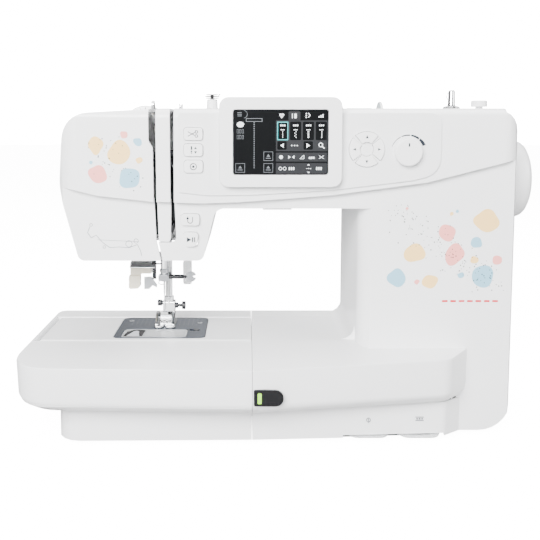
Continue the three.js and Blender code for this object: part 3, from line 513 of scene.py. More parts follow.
def build_small_nodes():
    """The small pieces that only need their edges eased."""
    plain = [
        "needle_plate", "bobbin_cover", "bobbin_cover_latch", "feed_dogs", "machine_frame",
        "take_up_lever", "buttonhole_lever", "base_plate", "guide_card_left", "guide_card_right",
        "power_switch", "sockets", "status_window", "lamp_lens", "display_screen", "spool_pin",
        "control_board", "rotary_hook", "timing_belt",
    ]
    for node in plain:
        refined(node, 0.2)


def screw(name, host, axis, centre, face, outward, radius=2.6):
    """A pan-head screw standing out of a face, with painted shade drawn in its cross slot."""
    high = face + outward * 0.9
    low = face - outward * 0.6
    extra_lathe(
        name, host, axis, centre,
        [[0, low], [radius, low], [radius, face + outward * 0.4], [radius * 0.7, high], [0, high]],
        STEEL, 32,
    )
    x, z = centre
    # The cross slot is a dark patch on the head: painted shade in its recess, not a cut.
    slot_shade = [stroke(x - radius * 0.6, z, x + radius * 0.6, z, 0.6)]
    slot_shade.append(stroke(x, z - radius * 0.6, x, z + radius * 0.6, 0.6))
    ends = sorted((high - outward * 0.3, high + outward * 0.05))
    prisms(name + "_slot", axis, slot_shade, ends[0], ends[1], DARK_PLASTIC_AND_SHADE, BODY_OF[host])


def build_rear_details():
    """The rear cover's screws and vents; the vent openings are dark patches of painted shade."""
    for i, (x, z) in enumerate([(-150, 235), (30, 206), (88, 262), (170, 262), (88, 24), (170, 24)]):
        rear = COLUMN_REAR_FACE if x > COLUMN_LEFT else ARM_REAR_FACE
        screw(f"rear_screw_{i}", "rear_cover", "y", (x, z), rear, 1.0)
    # Each vent is a thin dark patch on the face: painted shade for the opening.
    vents = [rectangle(100, 156, 118 + 5 * k, 120.4 + 5 * k, 1.1) for k in range(9)]
    prisms("rear_vent_painted_shade", "y", vents, 97.2, 97.56, DARK_PLASTIC_AND_SHADE, "body")


# ---------------- the mechanism


def build_wheel_and_dials():
    """The handwheel and the two dials."""
    lathe("handwheel", "x", SHAFT_AT, [
        [5.3, 195], [16, 195], [16, 198], [30, 198], [31, 193.4], [33.6, 193.4], [34.6, 195],
        [34.6, 198.2], [34.2, 198.6], [34.6, 199.0], [34.6, 208], [34.2, 210.6], [33.2, 213.2],
        [31.4, 215.2], [28.4, 216.9], [22, 218.2], [10, 218.9], [0, 219], [0, 214.6], [5.3, 214.6],
    ], ease=0.0, smooth=30)
    lathe("speed_dial", "y", SPEED_DIAL_AT, [
        [0, SPEED_DIAL_FACE], [10.2, SPEED_DIAL_FACE], [10.9, -56.9], [11.1, -56.2], [11.1, -52],
        [3.6, -52], [3.6, -40], [0, -40],
    ], ease=0.0, smooth=30)
    lathe("tension_dial", "y", TENSION_DIAL_AT, [
        [0, 25], [19.4, 25], [20.7, 25.5], [21.2, 26.6], [21.2, 32.4], [20.7, 33.5], [19.4, 34], [0, 34],
    ], ease=0.0, smooth=30)


def build_spool():
    """The spool, its cap and the thread wound on it, thinner towards both ends."""
    lathe("spool_cap", "x", SPOOL_AT, [
        [3.4, 90.2], [18.2, 90.2], [18.8, 91], [18.4, 92.4], [8, 94], [5.4, 95], [5.4, 97.4], [3.4, 97.4],
    ])
    lathe("thread_spool", "x", SPOOL_AT, [
        [3.5, 56], [13.6, 56], [14, 56.4], [14, 57.4], [6, 59], [6, 87], [11, 88.4], [11, 89.6],
        [3.5, 89.6],
    ], look=WHITE)
    core = 6.1
    start, end, taper = 58.6, 87.4, 83.5
    full = 12.6
    turns = 40
    wound = [[core, 58.2]]
    for k in range(turns + 1):
        along = start + (end - start) * k / turns
        radius = min(full, 8.5 + (along - start) * 1.5, full - max(0.0, along - taper) * 0.55)
        wound += [[radius, along], [radius + 0.14, along + 0.36]]
    wound.append([core, 87.9])
    extra_lathe("wound_thread", "thread_spool", "x", SPOOL_AT, wound, THREAD, 64, 0)


def build_top_fittings():
    """The bobbin winder with its stop, and the thread guide beside the head."""
    lathe("winder_spindle", "z", WINDER_AT, [
        [0, 258], [3.2, 258], [3.2, 275.6], [7, 275.6], [7.4, 276], [7.4, 277.2], [6.2, 277.9],
        [3.6, 278.6], [3.3, 279.4], [3, 291], [2.6, 292], [1.6, 292.6], [0, 292.6],
    ], ease=0.0)
    x, y = WINDER_AT
    bows = [math.sin(math.pi * k / 10) for k in range(11)]
    spring = [(x - 2.6 - 2.1 * bow, y, 290.6 - 0.75 * k) for k, bow in enumerate(bows)]
    tube("winder_spring", "winder_spindle", spring, 0.35, CHROME)
    lathe("winder_stop", "z", WINDER_STOP_AT, [
        [0, 268], [3.2, 268], [3.2, 277.6], [7.1, 277.6], [7.1, 282.4], [6.4, 283.2], [0, 283.2],
    ], ease=0.3)
    lathe("bobbin_thread_guide", "z", GUIDE_AT, [
        [0, 269], [3, 269], [3, 275], [5.2, 275], [4.9, 276.4], [4.6, 283.1], [4, 283.7], [1.6, 283.9],
        [1.6, 288], [0, 288],
    ])
    for i, (place, radius) in enumerate([(284.3, 6.4), (285.8, 6.8), (287.3, 5.6)]):
        disc = [
            [1.5, place], [radius - 1, place], [radius, place + 0.5], [radius - 0.4, place + 0.8],
            [1.5, place + 0.5],
        ]
        extra_lathe(f"guide_disc_{i}", "bobbin_thread_guide", "z", GUIDE_AT, disc, GLOSS_BLACK, 48, 0)
    x, y = GUIDE_AT
    hook = [
        (x + 6.2 * math.cos(a), y + 6.2 * math.sin(a), 286.6 + 0.5 * k)
        for k, a in enumerate([0.6, 0.3, 0.0, -0.3])
    ]
    tube("guide_hook", "bobbin_thread_guide", [*hook, (-53.2, 4.4, 287.8)], 0.4, CHROME)


def build_feet():
    """The four rubber feet."""
    profile = [[0, 0], [6.8, 0], [7.6, 0.5], [8, 1.2], [8, 2.9], [0, 2.9]]
    for node in NODES:
        if node.startswith("foot_left") or node.startswith("foot_right"):
            low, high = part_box(node)
            x, y = (low[0] + high[0]) / 2 / MM, (low[1] + high[1]) / 2 / MM
            lathe(node, "z", (x, y), profile, segments=48)


def build_hook_and_shafts():
    """The turned parts of the mechanism inside."""
    lathe("bobbin_case", "z", HOOK_AT, [
        [0, 57.4], [15.4, 57.4], [17.3, 59.3], [17.3, 71.4], [16, 71.4], [16, 60], [14.6, 58.6], [2, 58.6],
        [2, 64], [0, 64],
    ])
    lathe("bobbin", "z", HOOK_AT, [
        [2.6, 59], [10.2, 59], [10.2, 60.2], [4.4, 60.2], [4.4, 69.2], [10.2, 69.2], [10.2, 70.4],
        [2.6, 70.4],
    ])
    lathe("lower_shaft", "x", LOWER_SHAFT_AT, [
        [0, -118], [4, -118], [4, -112], [9.2, -112], [9.2, -100], [4, -100], [4, 148], [15, 148],
        [15, 149], [13, 149], [13, 157], [15, 157], [15, 158], [4, 158], [4, 160], [0, 160],
    ], segments=48)
    lathe("main_shaft", "x", SHAFT_AT, [
        [0, -92], [13.5, -92], [13.5, -87.4], [8, -87.4], [8, -80], [5, -80], [5, 147.6],
        [15, 147.6], [15, 148.8], [13, 148.8], [13, 157], [15, 157], [15, 158], [26, 158], [26, 159],
        [24, 159], [24, 169], [26, 169], [26, 170], [5, 170], [5, 214], [0, 214],
    ], segments=48)
    pin = [[0, -97], [2.4, -97], [2.4, -91.5], [0, -91.5]]
    throw = 11
    extra_lathe("crank_pin", "main_shaft", "x", (SHAFT_AT[0], SHAFT_AT[1] + throw), pin, STEEL, 24)
    lathe("motor_housing", "x", MOTOR_AT, [
        [0, 105], [10, 105], [10, 108], [24, 108], [27, 111], [27, 143], [24, 146], [8, 146], [8, 150],
        [0, 150],
    ], segments=64)
    lathe("motor_pulley", "x", MOTOR_AT, [
        [0, 150.4], [9, 150.4], [9, 158.4], [14, 158.4], [14, 159.2], [12, 159.2], [12, 168.6],
        [14, 168.6], [14, 169.6], [0, 169.6],
    ], segments=48)


def build_needle_and_bar():
    """The needle, and its bar with the clamp, the clamp's screw and the lower thread guide."""
    lathe("needle", "z", NEEDLE_AT, [
        [0, 89], [0.25, 90.2], [0.42, 92.5], [0.5, 96], [0.5, 106], [0.85, 108.5], [0.85, 120.4],
        [0, 120.4],
    ], segments=32, ease=0.0)
    lathe("needle_bar", "z", NEEDLE_AT, [
        [1.1, 119], [2.9, 119], [3.2, 119.4], [3.2, 236], [2.4, 237], [0, 237], [0, 121], [1.1, 121],
    ], segments=48, ease=0.0)
    clamp = rectangle(-111.2, -101.6, 119.4, 125.4, 1.4)
    block("needle_clamp", "needle_bar", "y", clamp, 16.2, 23.8, STEEL, 0.5)
    screw_z = 123.1
    extra_lathe("needle_clamp_shank", "needle_bar", "x", (NEEDLE_AT[1], screw_z), [
        [0, -102], [2, -102], [2, -89], [1.5, -88.4], [1, -84.6], [0, -84.6],
    ], DARK_PLASTIC_AND_SHADE, 32)
    head = circle(-81.4, screw_z, 4.7, 40)
    notched = [(x, z) for x, z in head if not (x > -78.6 and abs(z - screw_z) < 0.75)]
    notched.append((-79.6, 122.5))
    notched.append((-79.6, 123.7))
    notched.sort(key=lambda spot: math.atan2(spot[1] - screw_z, spot[0] + 82.6))
    block("needle_clamp_head", "needle_bar", "y", notched, 19, 21.4, STEEL, 0.35)
    tube("needle_thread_guide", "needle_bar", [
        (-110.4, 17, 119.6), (-110.8, 15.6, 117.8), (-108.8, 15, 116.8), (-106.4, 15.6, 116.9),
        (-105.6, 17, 117.6),
    ], 0.4, CHROME)
    extra_lathe("needle_bar_collar", "needle_bar", "z", NEEDLE_AT, [
        [3.2, 127], [4.1, 127.3], [4.1, 130.2], [3.2, 130.5]], STEEL, 48)


def build_threader():
    """The needle threader: its cream grip, shield, post and hook plate."""
    body = [
        (-136.6, 124.6), (-127.4, 124.6), (-126.4, 126.4), (-117.2, 126.4), (-117.2, 132), (-136.6, 132),
    ]
    cream = block("threader_body", "needle_threader", "y", body, 16.2, 23.6, CREAM, 0.8)
    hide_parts("needle_threader")
    grip = [
        (-137.9, 113.6), (-136.4, 112.6), (-129.6, 113), (-127.4, 115.2), (-127.2, 117.8), (-127.8, 118.6),
        (-127.2, 119.6), (-127.2, 124.9), (-137.6, 124.9), (-138, 119.8), (-137.4, 118.7), (-138, 117.8),
    ]
    block("threader_grip", "needle_threader", "y", grip, 14.6, 21, CREAM, 0.9)
    cover = [(15.4, 131.6), (25, 131.6), (25, 137), (20, 137), (15.4, 132.6)]
    block("threader_shield", "needle_threader", "x", cover, -136.9, -113.6, CHROME, 0.5)
    post = rectangle(-116.6, -113.2, 17.4, 20.8, 0.8)
    block("threader_post", "needle_threader", "z", post, 121.2, 190, DARK_PLASTIC_AND_SHADE, 0.3)
    plate = [
        (-124.2, 112), (-119.6, 112), (-116.4, 115.4), (-112.6, 113.4), (-112.4, 115.8), (-117.6, 123.6),
        (-124.2, 123.2),
    ]
    block("threader_bracket", "needle_threader", "y", plate, 17.2, 19.4, STEEL, 0.3)
    arm = rectangle(-116.6, -109.8, 133.4, 134.8)
    block("threader_arm", "needle_threader", "y", arm, 24.4, 26, STEEL, 0.2)


def build_presser():
    """The presser bar, the foot's holder with its screw, and the foot."""
    bar = [[0, 91], [2.8, 91], [3.2, 91.4], [3.2, 235], [0, 235]]
    lathe("presser_bar", "z", PRESSER_AT, bar, segments=48)
    holder = block("foot_holder_look", "foot_holder", "x", [
        (24.8, 89.4), (25.8, 88.4), (33, 88.4), (34, 89.4), (34, 98), (33, 99), (25.8, 99), (24.8, 98)],
        -108.2, -97, CHROME, 0.6)
    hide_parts("foot_holder")
    extra_lathe("holder_pivot_knob", "foot_holder", "x", (29.5, 96.6), [
        [0, -113.4], [2.4, -113.4], [2.9, -112.9], [2.9, -109.6], [2, -109.2], [2, -108],
        [0, -108]], DARK_PLASTIC_AND_SHADE, 32)
    extra_lathe("holder_screw", "foot_holder", "x", (29.5, 94.2), [
        [0, -97.4], [2.6, -97.4], [2.6, -94.6], [1.4, -94.2], [1.4, -91], [3.4, -90.8], [3.8, -90.2],
        [3.8, -88], [3.2, -87.4], [0, -87.4]], DARK_PLASTIC_AND_SHADE, 40)
    extra_lathe("holder_collar", "foot_holder", "z", PRESSER_AT, [
        [3.2, 98.6], [4.4, 98.9], [4.4, 103.4], [3.2, 103.8]], CHROME, 48)
    block("holder_lever", "foot_holder", "x", [(31, 86.4), (36.4, 83.4), (37.4, 84.6), (34, 92), (31, 92)],
          -104.5, -100.5, DARK_PLASTIC_AND_SHADE, 0.4)
    left = rectangle(-115, -106.9, 12.6, 43, 2.4)
    right = rectangle(-105.1, -96, 12.6, 43, 2.4)
    sole = prisms("presser_foot_look", "z", [left, right, rectangle(-108, -103, 22.4, 42, 0.8)], 76.8, 78.5,
                  CHROME, "presser_bar")
    soften(sole, 0.35, 3)
    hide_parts("presser_foot")
    for side, (low, high) in {"left": (-114.4, -111.6), "right": (-99.4, -96.6)}.items():
        outline = [
            (13, 78.2), (19, 78.2), (24, 83.4), (31, 84.4), (31, 88.2), (24.4, 88.2), (17, 82.4), (13, 80.4),
        ]
        block(f"foot_wing_{side}", "presser_foot", "x", outline, low, high, CHROME, 0.5)
        knob = (-113, -110.6) if side == "left" else (-100.4, -98)
        extra_lathe(f"foot_stud_{side}", "presser_foot", "x", (27.6, 85.6), [
            [0, knob[0]], [2.2, knob[0]], [2.2, knob[1]], [0, knob[1]]], DARK_PLASTIC_AND_SHADE, 32)
    extra_lathe("foot_pin", "presser_foot", "x", (27.6, 84.4), [
        [0, -114], [1, -114], [1, -97], [0, -97]], STEEL, 24)
    saddle = [(24.6, 78.2), (32, 78.2), (31.4, 83.4), (29, 84.2), (26, 84.2)]
    block("foot_saddle", "presser_foot", "x", saddle, -111, -100, CHROME, 0.5)


# ---------------- prints and small details


def build_button_marks():
    """A plain symbol on each button."""
    face = UPPER_KEY_FACE
    cut = strokes([(-77.9, 256.2), (-72.4, 253.2)], 0.55)
    cut += strokes([(-77.9, 252.5), (-72.4, 255.5)], 0.55)
    cut += ring(-71, 256, 0.8, 1.35) + ring(-71, 252.7, 0.8, 1.35)
    mark("mark_thread_cutter", "button_thread_cutter", cut, face, INK)
    x, z = -73.6, 241.35
    needle = [rectangle(x - 2, x - 0.9, z + 0.2, z + 3.2), rectangle(x - 2, x - 0.9, z - 1.8, z - 0.4)]
    needle.append([(x - 2, z - 2.2), (x - 1.45, z - 3.4), (x - 0.9, z - 2.2)])
    needle.append([(x + 0.6, z + 0.9), (x + 3, z + 0.9), (x + 1.8, z + 2.8)])
    needle.append([(x + 0.6, z - 0.9), (x + 1.8, z - 2.8), (x + 3, z - 0.9)])
    mark("mark_needle_position", "button_needle_position", needle, face, INK)
    target = ring(-73.6, 228.05, 2.2, 2.8) + [circle(-73.6, 228.05, 1, 24)]
    mark("mark_reinforcement", "button_reinforcement", target, face, INK)
    back = [arc_band(-77, 183.2, 1.7, 2.3, 180, 360), rectangle(-75.3, -74.7, 183.2, 186.4)]
    back += [rectangle(-79.3, -78.7, 183.2, 185), [(-80.3, 184.6), (-79, 186.8), (-77.7, 184.6)]]
    mark("mark_reverse", "button_reverse", back, LOWER_KEY_FACE, INK)
    run = [[(-79.8, 169.6), (-79.8, 165.4), (-76, 167.5)]]
    run += [rectangle(x, x + 0.9, 165.5, 169.5) for x in (-75.6, -73.9)]
    mark("mark_start_stop", "button_start_stop", run, LOWER_KEY_FACE, INK)


def build_dial_marks():
    """The arrows on the pad, the scales of both dials and the status light."""
    for k in range(4):
        a = math.radians(90 * k)
        x, z = ARROW_PAD_AT[0] + 9.9 * math.cos(a), ARROW_PAD_AT[1] + 9.9 * math.sin(a)
        corners = [(x + 1.5 * math.cos(a + t), z + 1.5 * math.sin(a + t)) for t in (0, 2.3, -2.3)]
        mark(f"arrow_mark_{k}", "arrow_pad", [corners], ARROW_PAD_FACE, INK)
    x, z = SPEED_DIAL_AT
    pointer = rectangle(x - 0.55, x + 0.55, z + 4.4, z + 7.4, 0.2)
    mark("speed_dial_mark", "speed_dial", [pointer], SPEED_DIAL_FACE, INK)
    bands = [((13.3, 13.2), (13.6, 13.8), 160, 117), ((13.2, 13.1), (13.9, 14.2), 113, 84)]
    bands += [((13.1, 12.9), (14.3, 14.8), 80, 51), ((12.9, 12.7), (14.9, 15.6), 48, 22)]
    scale = [arc_band(x, z, inner, outer, start, end) for inner, outer, start, end in bands]
    mark("speed_scale", "control_panel", scale, PANEL_FACE, INK)
    ticks = []
    x, z = TENSION_DIAL_AT
    inner = 17.4
    for k in range(-4, 5):
        a = math.radians(90 + 14 * k)
        outer = 19.0 if k % 2 else 19.6
        one = (x + inner * math.cos(a), z + inner * math.sin(a))
        two = (x + outer * math.cos(a), z + outer * math.sin(a))
        ticks.append(stroke(*one, *two, 0.45))
    mark("tension_scale", "tension_dial", ticks, TENSION_DIAL_FACE, INK)
    mark("tension_pointer", "tension_dial", ring(x, 274.2, 0.9, 1.4), TENSION_DIAL_FACE, PALE_INK)
    light = rectangle(-22.1, -19, 46.6, 55.1, 0.8)
    mark("status_light", "status_window", [light], BED_FACE, GREEN)


def stitch_glyph(x, z, kind):
    """A small picture of a stitch: a cap over dashes in one of four patterns."""
    shapes = [rectangle(x - 1.6, x + 1.6, z + 2.2, z + 2.7)]
    for k in range(5):
        shift = (0.0, 0.5 * (-1) ** k, 0.0, 0.35)[kind]
        width = (0.25, 0.25, 0.6, 0.3)[kind]
        low = z + 1.3 - 1.15 * k
        shapes.append(rectangle(x + shift - width, x + shift + width, low - 0.7, low))
    return shapes


def on_screen(across, down):
    """The X and Z of a place given from the display's upper left corner."""
    return SCREEN_LEFT + across, SCREEN_TOP - down


def tile(across, down, width, height, radius=0.9):
    """The outline of a rounded field of the display."""
    x, z = on_screen(across, down)
    return rectangle(x, x + width, z - height, z, radius)


def frame_of(across, down, width, height, line=0.35):
    """The outlines of the four sides of a frame on the display."""
    x, z = on_screen(across, down)
    low = z - height
    return [
        rectangle(x, x + width, z - line, z), rectangle(x, x + width, low, low + line),
        rectangle(x, x + line, low + line, z - line),
        rectangle(x + width - line, x + width, low + line, z - line),
    ]


def icons_in_tiles():
    """The stitch pictures and the row of arrows, dots and a lens below them."""
    white = []
    for k in range(4):
        x, z = on_screen(39.4 + 10.3 * k, 18.2)
        white += stitch_glyph(x, z, k)
        white += [rectangle(x - 1.9 + 1.5 * n, x - 0.9 + 1.5 * n, z + 5.2, z + 6.6, 0.3) for n in range(3)]
    x, z = on_screen(38.9, 28.3)
    white.append([(x - 1.5, z), (x + 1.4, z - 1.8), (x + 1.4, z + 1.8)])
    x, z = on_screen(59.9, 28.3)
    white.append([(x + 1.5, z), (x - 1.4, z + 1.8), (x - 1.4, z - 1.8)])
    x, z = on_screen(70, 27.8)
    white += ring(x, z, 1.2, 1.8) + [stroke(x + 1.3, z - 1.3, x + 2.9, z - 2.9, 0.8)]
    x, z = on_screen(48.9, 28.3)
    white += [circle(x + 2.2 * n, z, 0.5, 16) for n in (-1, 0, 1)]
    return white


def icons_in_header():
    """The four pictures along the top."""
    x, z = on_screen(38.6, 4.5)
    white = [circle(x - 0.9, z + 0.5, 1.1, 20), circle(x + 0.9, z + 0.5, 1.1, 20)]
    white += [[(x - 1.9, z + 0.1), (x, z - 2.2), (x + 1.9, z + 0.1)]]
    x, z = on_screen(48.8, 4.8)
    white.append(rectangle(x - 2, x - 1.4, z - 1.8, z + 1.8))
    white.append(rectangle(x - 0.2, x + 1.8, z - 1.8, z + 1.8, 0.6))
    x, z = on_screen(59.6, 4.5)
    white += [rectangle(x - 1.8, x - 0.9, z + 1.2 - 1.5 * n, z + 2.1 - 1.5 * n) for n in range(3)]
    white += strokes([(x + 0.2, z + 2), (x + 1.8, z + 0.4), (x + 0.2, z - 1.6)], 0.6)
    x, z = on_screen(70, 4.5)
    white += [rectangle(x - 2 + 1.5 * n, x - 1 + 1.5 * n, z - 1.6, z - 0.4 + 0.8 * n) for n in range(3)]
    return white


def icons_in_footer():
    """The two rows of small pictures at the bottom, and the oval at the upper left."""
    white = [circle(*on_screen(38.2, 37.6), 1.5, 24)]
    x, z = on_screen(46.4, 37.6)
    white += [
        [(x - 0.6, z), (x - 2.4, z - 1.3), (x - 2.4, z + 1.3)],
        [(x + 0.6, z), (x + 2.4, z + 1.3), (x + 2.4, z - 1.3)],
    ]
    x, z = on_screen(55, 37.6)
    white += strokes([(x - 1.8, z - 1.4), (x + 1.6, z - 1.4), (x + 1.6, z + 1.6), (x - 1.8, z - 1.4)], 0.35)
    x, z = on_screen(62.6, 37.6)
    white += [rectangle(x - 2 + 1.6 * n, x - 0.8 + 1.6 * n, z - 1.4, z + 0.2) for n in range(3)]
    x, z = on_screen(70.6, 37.6)
    white += strokes([(x - 1.9, z - 1.3), (x + 1.9, z + 1.3)], 0.4)
    white += strokes([(x - 1.9, z + 1.3), (x + 1.9, z - 1.3)], 0.4)
    x, z = on_screen(39.4, 46.8)
    white += ring(x - 1.7, z, 1.0, 1.4) + ring(x + 1.7, z, 1.0, 1.4)
    white += [rectangle(x + 5 + 1.7 * n, x + 6.1 + 1.7 * n, z - 1.2, z + 1.2, 0.3) for n in range(3)]
    x, z = on_screen(60.4, 46.8)
    white += [rectangle(x - 2 + 1.5 * n, x - 1 + 1.5 * n, z - 0.25, z + 0.25) for n in range(3)]
    white += [
        [(x - 1, z + 2.6), (x + 1, z + 2.6), (x, z + 3.8)],
        [(x - 1, z - 2.6), (x, z - 3.8), (x + 1, z - 2.6)],
    ]
    white += [rectangle(x + 6 + 1.7 * n, x + 7.1 + 1.7 * n, z - 1.2, z + 1.2, 0.3) for n in range(3)]
    x, z = on_screen(5.6, 11.6)
    turns = [math.pi * k / 12 for k in range(24)]
    white += [[(x + 2.9 * math.cos(t), z + 2.2 * math.sin(t)) for t in turns]]
    return white


def grey_lines():
    """The thin line drawings down the left of the display."""
    x, z = on_screen(16.6, 8)
    grey = frame_of(10, 6.6, 13.2, 2.8, 0.45)
    grey += [rectangle(x - 0.35, x + 0.35, z - 2.6 - 1.5 * k, z - 1.7 - 1.5 * k) for k in range(25)]
    x, z = on_screen(5, 3.6)
    grey += [rectangle(x - 1.7, x + 1.7, z - 1.4 + 1.3 * n, z - 0.9 + 1.3 * n) for n in range(3)]
    grey += [arc_band(*on_screen(8, 3.4), 2.9, 3.3, -80, 80)]
    for n in range(3):
        grey += frame_of(2.8 + 2 * n, 15.4, 1.4, 3.2, 0.25) + frame_of(2.8 + 2 * n, 20, 1.4, 3.2, 0.25)
    for across, down in [(1.6, 42.6), (24.2, 33.2), (24.2, 42.6)]:
        grey += frame_of(across, down, 7.6, 7.4)
        x, z = on_screen(across + 3.8, down + 3.7)
        arrow = [(x - 1.5, z - 0.4), (x + 1.5, z - 0.4), (x, z + 1.8)]
        grey += [rectangle(x - 2, x + 2, z - 1.9, z - 1.3), arrow]
    return grey


def build_display():
    """A generic layout of fields, stitch pictures and symbols, without lettering."""
    fields = [tile(34, 8.3, 41.4, 24.6, 0.5), tile(34, 34, 41.4, 7.2, 0.5)]
    fields += [tile(34, 42.4, 41.4, 8.6, 0.5), tile(44, 1, 9.6, 7.6, 1.2)]
    wells = [tile(35 + 10.3 * k, 9.4, 8.8, 14.6) for k in range(4)]
    wells += [tile(35.2, 25, 7.4, 6.6), tile(56.2, 25, 7.4, 6.6)]
    choice = frame_of(35, 9.4, 8.8, 14.6, 0.7)
    icons = icons_in_tiles() + icons_in_header() + icons_in_footer()
    for name, outlines, look, rise in [
        ("display_side", fields, DISPLAY_GREY, 0.06),
        ("display_wells", wells, SCREEN_BLACK, 0.1),
        ("display_choice", choice, DISPLAY_TEAL, 0.16),
        ("display_icons", icons, DISPLAY_WHITE, 0.2),
        ("display_lines", grey_lines(), DISPLAY_LINE, 0.14),
    ]:
        mark(name, "display_screen", outlines, SCREEN_FACE, look, rise=rise)


BLOB_POINTS = 48
PLACING_TRIES = 400


def blob(random_source, x, z, radius, squash):
    """A smooth irregular spot."""
    waves = [(random_source.uniform(0, 6.28), random_source.uniform(0.02, 0.07)) for _ in range(3)]
    tilt = random_source.uniform(0, math.pi)
    cosine, sine = math.cos(tilt), math.sin(tilt)
    outline = []
    for k in range(BLOB_POINTS):
        a = 2 * math.pi * k / BLOB_POINTS
        swell = sum(size * math.cos((n + 2) * a + phase) for n, (phase, size) in enumerate(waves))
        reach = radius * (1 + swell)
        u, v = reach * math.cos(a), reach * squash * math.sin(a)
        outline.append((x + u * cosine - v * sine, z + u * sine + v * cosine))
    return outline


def scatter(source, left, right, bottom, top, spots, gap, reach):
    """Places round spots at random, from the largest, clear of each other."""
    placed = []
    for radius in spots:
        for _ in range(PLACING_TRIES):
            x = source.uniform(left + radius, right - radius)
            z = source.uniform(bottom + radius, top - radius)
            if all(math.hypot(x - a, z - b) > radius * reach + c * reach + gap for a, b, c in placed):
                placed.append((x, z, radius))
                break
    return placed


def build_pattern(name, host, face, bounds, sizes, seed, specks, keep_out):
    """A generic pattern of pastel spots and fine specks, drawn at random."""
    source = random.Random(seed)
    tints = [YELLOW, BLUE, ROSE]
    spots = scatter(source, *bounds, sizes, 1.0, 1.04)
    for n, tint in enumerate(tints):
        shapes = [
            blob(source, x, z, r, source.uniform(0.84, 0.98))
            for i, (x, z, r) in enumerate(spots)
            if i % 3 == n and not keep_out(x, z, r)
        ]
        mark(f"{name}_{tint.name}", host, shapes, face, tint, rise=0.05)
    dark = []
    left, right, bottom, top = bounds
    for _ in range(specks):
        t = source.random()
        x = left + (right - left) * t + source.gauss(0, 5)
        z = top - (top - bottom) * t + source.gauss(0, 9)
        if left < x < right and bottom < z < top and not keep_out(x, z, 0.5):
            dark.append(circle(x, z, source.choice((0.3, 0.4, 0.5)), 10))
    mark(name + "_specks", host, dark, face, INK, rise=0.09)


def build_prints():
    """The spots and specks, the dashed line, the threading drawing and the cards' symbols."""
    seam_x = -113  # the face cover's right edge, which no spot crosses
    build_pattern(
        "head_spots", "face_cover", HEAD_FACE, (-160, -114.5, 206, 257),
        (9.6, 8.6, 8, 7, 3.6, 3.2, 2.8, 1.6), 5, 46, lambda x, z, r: x + r > seam_x,
    )
    build_pattern(
        "column_spots", "front_cover", COLUMN_FACE, (84, 184, 122, 196),
        (10.6, 9.8, 9, 8.6, 8, 7.4, 6.4, 5, 4.2, 3.4, 2.8, 2.2, 1.6, 1.4, 1.2), 23, 190,
        lambda x, z, r: False,
    )
    dashes = [rectangle(132 + 7 * k, 137 + 7 * k, 114.6, 116.2, 0.7) for k in range(7)]
    mark("stitch_line", "front_cover", dashes, COLUMN_FACE, RED)
    path = [(-160, 178), (-162, 173), (-159, 168.6), (-155, 171), (-150, 165), (-144, 160.6), (-136, 161),
            (-128, 160.4), (-121, 163), (-118.5, 158), (-117.6, 153.6)]
    lines = strokes(path, 0.45) + ring(-159, 179.4, 0.9, 1.3) + ring(-148.4, 161, 0.9, 1.3)
    lines += ring(-128, 163.6, 2.4, 2.8) + ring(-122, 166, 1.6, 2)
    lines += strokes([(-154, 167), (-120, 165.4)], 0.3)
    mark("threading_drawing", "face_cover", lines, LOWER_HEAD_FACE, PALE_INK)
    for side, x, front in (("left", 70, -59.6), ("right", 112.8, -57.2)):
        icon = ring(x, 19, 1.5, 1.9) + [rectangle(x - 0.25, x + 0.25, 16.4, 20)]
        if side == "right":
            icon = [rectangle(x - 3.4, x + 3.4, 17.4, 17.9), rectangle(x - 3.4, x + 3.4, 20.3, 20.8)]
            icon += [rectangle(x - 2.7 + 2.1 * n, x - 1.5 + 2.1 * n, 18.5, 19.7, 0.3) for n in range(3)]
        mark("card_mark_" + side, "front_cover", icon, front - 0.4, PALE_INK, rise=0.3)


